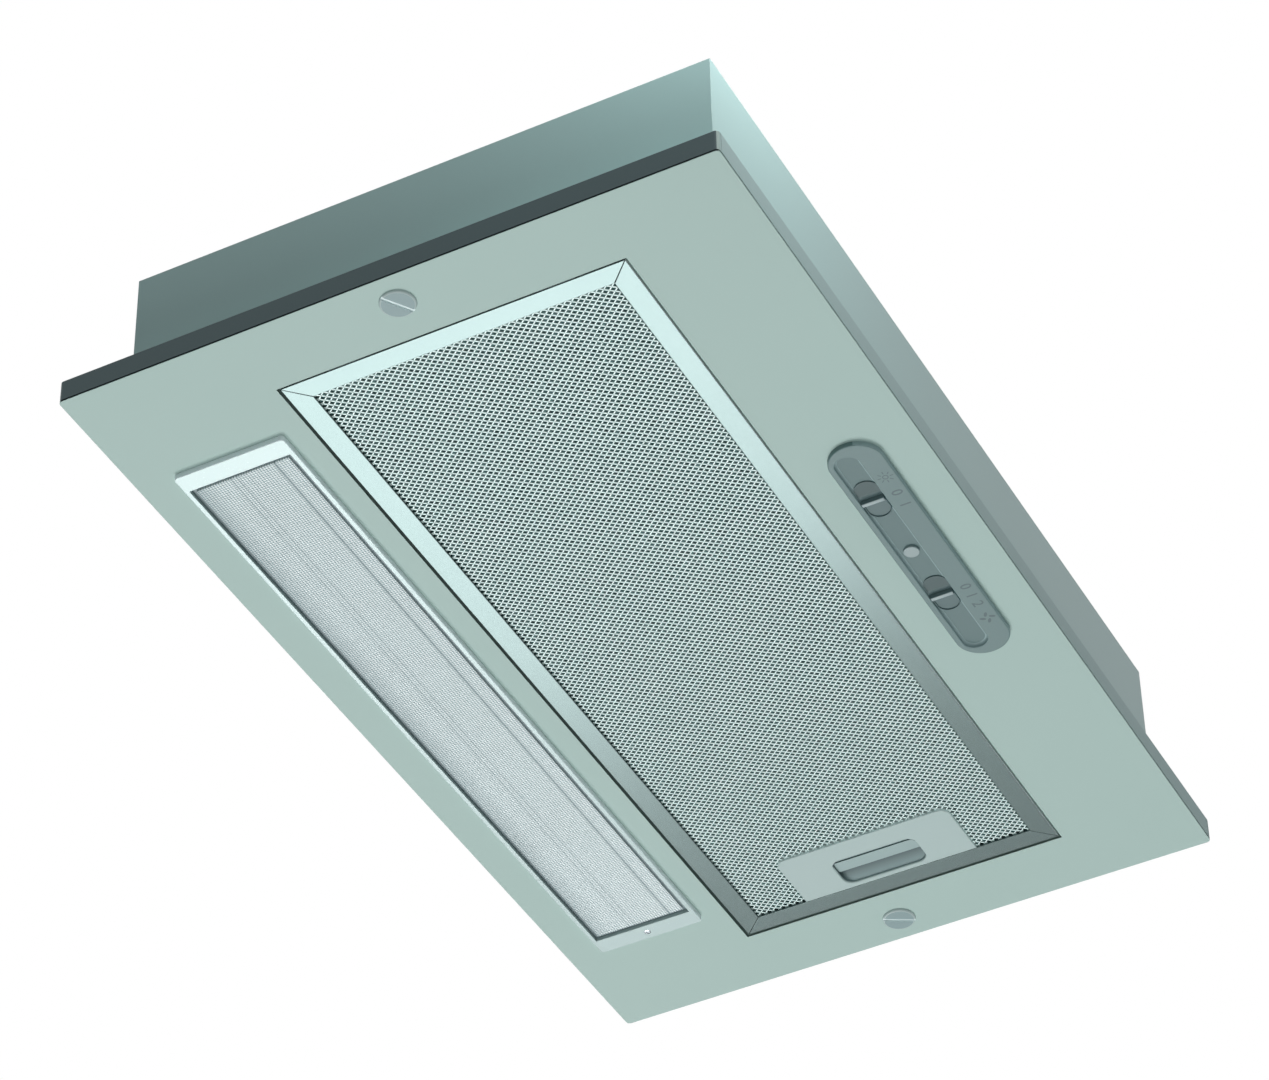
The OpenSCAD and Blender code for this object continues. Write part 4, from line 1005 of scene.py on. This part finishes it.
# Fan sign: four blades
fanX, bladeCount, bladePlace, bladeShape, bladeTurn = markStyle["fan"]
for turn in range(bladeCount):
    blade = addRod((0, 0, bezelLow.z), 1, markThickness, sides=18)
    blade.scale = (bladeShape[1], bladeShape[0], 1)
    turnAndPlace(blade, math.radians(bladeTurn), 0, bladePlace)
    marks.append(turnAndPlace(blade, turn * 2 * math.pi / bladeCount, fanX, markY))
finishPiece(joinPieces(marks), "controlMarks", "hood", "markPaint")
print("stage: control marks made")

# Quarter-turn knobs with a slotted head
knobStyle = {
    "placeX": 244.4,
    "head": (8, 1.2),
    "rim": 0.95,
    "slot": (9, 0.75, 0.45),
    "shank": (4.5, 1),
    "bar": (14, 4, 1.8),
    "barRim": 0.4,
    "edge": 1.2,
    "angles": (-33, -60),
}


def addKnob(node, name, body, side, angle):
    low, high = nodeBox(node)
    placeX = side * knobStyle["placeX"]
    headRadius, headHeight = knobStyle["head"]
    knob = addRod((0, 0, low.z + headHeight / 2), headRadius, headHeight, sides=56)
    roundRim(knob, knobStyle["rim"], 3, low.z)
    slotX, slotY, slotZ = knobStyle["slot"]
    cutWith(knob, addBlock((-slotX, -slotY, low.z - 1), (slotX, slotY, low.z + slotZ)))
    shankRadius, shankStart = knobStyle["shank"]
    shaft = addRod((0, 0, (low.z + high.z + shankStart) / 2), shankRadius,
        high.z - low.z - shankStart, sides=40)
    barLength, barWidth, barHeight = knobStyle["bar"]
    bar = addBlock((-barLength / 2, -barWidth / 2, high.z - barHeight),
        (barLength / 2, barWidth / 2, high.z))
    roundEdges(bar, knobStyle["barRim"], 2)
    knob = turnAndPlace(joinPieces([knob, shaft, bar]), math.radians(angle), placeX, 0)
    finishPiece(knob, name, body, "knobPlastic", [node])

    # The slot and the ring round the head's edge take painted light
    def knobFinish(at, normal):
        across = Vector((at.x - placeX, at.y, 0))
        across.rotate(Matrix.Rotation(math.radians(-angle), 3, "Z"))
        if abs(across.y) < slotY + 0.05 and low.z + 0.05 < at.z < low.z + slotZ + 0.05:
            return 1
        isEdge = across.length > headRadius - knobStyle["edge"] and at.z < low.z + headHeight
        return 2 if isEdge else 0

    paintFaces(knob, ["slotPaintedLight", "knobEdgePaintedLight"], knobFinish)


leftAngle, rightAngle = knobStyle["angles"]
addKnob("knob_left", "knobLeft", "left_knob", -1, leftAngle)
addKnob("knob_right", "knobRight", "right_knob", 1, rightAngle)
print("stage: knobs made")

# Faceplate: a folded tray with soft folds, open corner seams and its openings
plateStyle = {
    "sheet": 0.8,
    "corner": 2,
    "fold": 0.15,
    "opening": (222.9, 83.2, -12),
    "openingRim": 7,
    "rimOverlap": 0.3,
    "boltSlot": (16.6, -8.3),
    "hookSlot": (20, 50, 3.9),
    "lampHole": (188.8, 26.5, 110.5),
    "lampScrew": (192.5, 1.7),
    "trackHole": (73.8, 7.7, -120.6),
    "knobHole": 4.8,
    "seam": (0.3, 0.5, 1.5, 2.3),
    "groove": (0.2, 1.0, 0.7),
}
sheet = plateStyle["sheet"]
floorTop = plateFace + sheet
plate = addRounded(plateLow, plateHigh, plateStyle["corner"], plateStyle["fold"], 6, 4)
cutWith(plate, addRounded((plateLow.x + sheet, plateLow.y + sheet, floorTop),
    (plateHigh.x - sheet, plateHigh.y - sheet, plateHigh.z + 1), plateStyle["corner"] - sheet))
openX, openY, openMiddle = plateStyle["opening"]
holeX, holeY, holeMiddle = plateStyle["lampHole"]
trackHoleX, trackHoleY, trackMiddle = plateStyle["trackHole"]
through = (plateFace - 1, floorTop + 1)
cutters = [
    addBlock((-openX, openMiddle - openY, through[0]), (openX, openMiddle + openY, through[1])),
    addBlock((-holeX, holeMiddle - holeY, through[0]), (holeX, holeMiddle + holeY, through[1])),
    addStadium((-trackHoleX, trackMiddle - trackHoleY, through[0]),
        (trackHoleX, trackMiddle + trackHoleY, through[1])),
    addRod((-knobStyle["placeX"], 0, plateFace), plateStyle["knobHole"], 4),
    addRod((knobStyle["placeX"], 0, plateFace), plateStyle["knobHole"], 4),
    addRod((plateStyle["lampScrew"][0], holeMiddle, plateFace), plateStyle["lampScrew"][1], 4),
]
# The dark line all round between the face and the folded walls
grooveLow, grooveHigh, grooveDepth = plateStyle["groove"]
ring = addRounded((plateLow.x - 1, plateLow.y - 1, plateFace + grooveLow), (plateHigh.x + 1,
    plateHigh.y + 1, plateFace + grooveHigh), plateStyle["corner"] + 1)
cutWith(ring, addRounded((plateLow.x + grooveDepth, plateLow.y + grooveDepth, plateFace - 1),
    (plateHigh.x - grooveDepth, plateHigh.y - grooveDepth, 1), plateStyle["corner"] - grooveDepth))
cutters.append(ring)
# Seams where the folded walls meet at the corners
seamWidth, seamDepth, seamStart, seamPlace = plateStyle["seam"]
for x in (-1, 1):
    for y in (-1, 1):
        endX, endY = plateHigh.x * x, plateHigh.y * y
        cutters.append(addBlock((endX - x * seamPlace, endY - y * seamDepth, plateFace + seamStart),
            (endX - x * (seamPlace + seamWidth), endY + y, 1)))
cutWith(plate, joinPieces(cutters))
rimTop = floorTop + plateStyle["openingRim"]
rim = addBlock((-openX - sheet, openMiddle - openY - sheet,
    plateFace + plateStyle["rimOverlap"]), (openX + sheet, openMiddle + openY + sheet, rimTop))
boltWidth, boltLow = plateStyle["boltSlot"]
hookWidth, hookPlace, hookTop = plateStyle["hookSlot"]
gripMiddle = (gripLow.y + gripHigh.y) / 2
slots = [
    addBlock((-openX, openMiddle - openY, plateFace - 2), (openX, openMiddle + openY, 1)),
    addBlock((openX - 1, gripMiddle - boltWidth / 2, boltLow),
        (openX + 3, gripMiddle + boltWidth / 2, 1)),
]
for y in (-1, 1):
    slots.append(addBlock((-openX - 3, openMiddle + y * hookPlace - hookWidth / 2, floorTop),
        (-openX + 1, openMiddle + y * hookPlace + hookWidth / 2, floorTop + hookTop)))
for slot in slots:
    cutWith(rim, slot)
facePlate = finishPiece(joinPieces([plate, rim]), "facePlate", "hood",
    "platePaint", ["faceplate"])


# The groove round the face takes painted shade, the end walls a darker copy of the plate paint as
# painted shade, and the side walls a lighter copy as painted light
def plateFinish(at, normal):
    margin = grooveDepth + 0.1
    isOuter = abs(at.x) > plateHigh.x - margin or abs(at.y) > plateHigh.y - margin
    if isOuter and grooveLow - 0.01 < at.z - plateFace < grooveHigh + 0.01:
        return 2
    if abs(normal.x) > 0.8 and abs(at.x) > plateHigh.x * 0.999:
        return 1
    return 3 if abs(normal.y) > 0.8 and abs(at.y) > plateHigh.y * 0.999 else 0


paintFaces(facePlate, ["endWallPaintedShade", "seamShade", "sideWallPaintedLight"], plateFinish)
print("stage: faceplate made")

# Floor, world and lights
stageSet = {
    "floorHeight": -6.0,
    "floorSize": 30,
    "floorColor": (0.86, 0.87, 0.87),
    "floorRoughness": 0.7,
    "floorGrain": 6,
    "floorBump": (0.02, 0.01),
    "floorGlow": 0.7,
    "glowColor": (0.97, 0.98, 0.98, 1),
    "worldLight": ((0.95, 0.98, 1, 1), 0.14),
    "worldSeen": ((1, 1, 1, 1), 1),
}
deselectAll()
bpy.ops.mesh.primitive_plane_add(size=stageSet["floorSize"],
    location=(0, 0, stageSet["floorHeight"]))
floor = bpy.context.object
floor.name = "floor"
floorPaint, floorTree, floorShader = newMaterial("floorPaint", stageSet["floorColor"],
    stageSet["floorRoughness"])
addBump(floorTree, floorShader, addNoise(floorTree, stageSet["floorGrain"]),
    *stageSet["floorBump"])
# The glow makes the floor pale where it is seen, and puts no light on the hood
glow = addMath(floorTree, "MULTIPLY", addSeen(floorTree), stageSet["floorGlow"])
floorTree.links.new(glow, floorShader.inputs["Emission Strength"])
floorShader.inputs["Emission Color"].default_value = stageSet["glowColor"]
floor.data.materials.append(floorPaint)

# The world shows white in the same way, and gives a little light of its own
world = bpy.data.worlds.new("studio")
bpy.context.scene.world = world
world.use_nodes = True
worldTree = world.node_tree
worldTree.nodes.clear()
blend = worldTree.nodes.new("ShaderNodeMixShader")
worldTree.links.new(addSeen(worldTree), blend.inputs[0])
for place, kind in ((1, "worldLight"), (2, "worldSeen")):
    background = worldTree.nodes.new("ShaderNodeBackground")
    color, strength = stageSet[kind]
    background.inputs["Color"].default_value = color
    background.inputs["Strength"].default_value = strength
    worldTree.links.new(background.outputs[0], blend.inputs[place])
skyOut = worldTree.nodes.new("ShaderNodeOutputWorld")
worldTree.links.new(blend.outputs[0], skyOut.inputs[0])

# Place in metres, size and power of each soft lamp; they aim at the hood unless told otherwise
lamps = {
    "underLight": {"place": (2.6, 2.15, -4.6), "size": 3.6, "power": 190},
    "fillLight": {"place": (-2.0, -0.6, -5.0), "size": 2.5, "power": 75},
    "frontLight": {"place": (-0.27, -0.22, 0.2), "aim": (-0.23, -0.14, 0.07), "size": 0.12,
        "power": 0.48},
    "sideLight": {"place": (0.8, -2.4, -0.5), "size": 1.2, "power": 5},
    "topLight": {"place": (0.8, 1.6, 2.6), "aim": (0, 0, 0.1), "size": 2.0, "power": 30},
}
for name, lamp in lamps.items():
    deselectAll()
    bpy.ops.object.light_add(type="AREA", location=lamp["place"])
    light = bpy.context.object
    light.name = name
    light.data.shape = "DISK"
    light.data.size = lamp["size"]
    light.data.energy = lamp["power"]
    beam = Vector(lamp.get("aim", (0, 0, 0))) - Vector(lamp["place"])
    light.rotation_euler = beam.to_track_quat("-Z", "Y").to_euler()

# Camera at the photograph's viewing angle
view = {
    "place": (-1.4358, -0.7059, -1.3409),
    "right": (0.4620, -0.8867, -0.0167),
    "down": (0.5750, 0.3138, -0.7556),
    "focal": 4636.57,
    "width": 1269,
    "sensor": 36,
    "farEnd": 50,
}
deselectAll()
bpy.ops.object.camera_add()
camera = bpy.context.object
camera.name = "camera"
right = Vector(view["right"]).normalized()
back = right.cross(-Vector(view["down"])).normalized()
turn = Matrix((right, back.cross(right), back)).transposed().to_4x4()
camera.matrix_world = Matrix.Translation(view["place"]) @ turn
camera.data.sensor_width = view["sensor"]
camera.data.lens = view["focal"] / view["width"] * view["sensor"]
camera.data.clip_end = view["farEnd"]
bpy.context.scene.camera = camera
bpy.context.scene.view_settings.view_transform = "Standard"
print("stage: camera and light set")
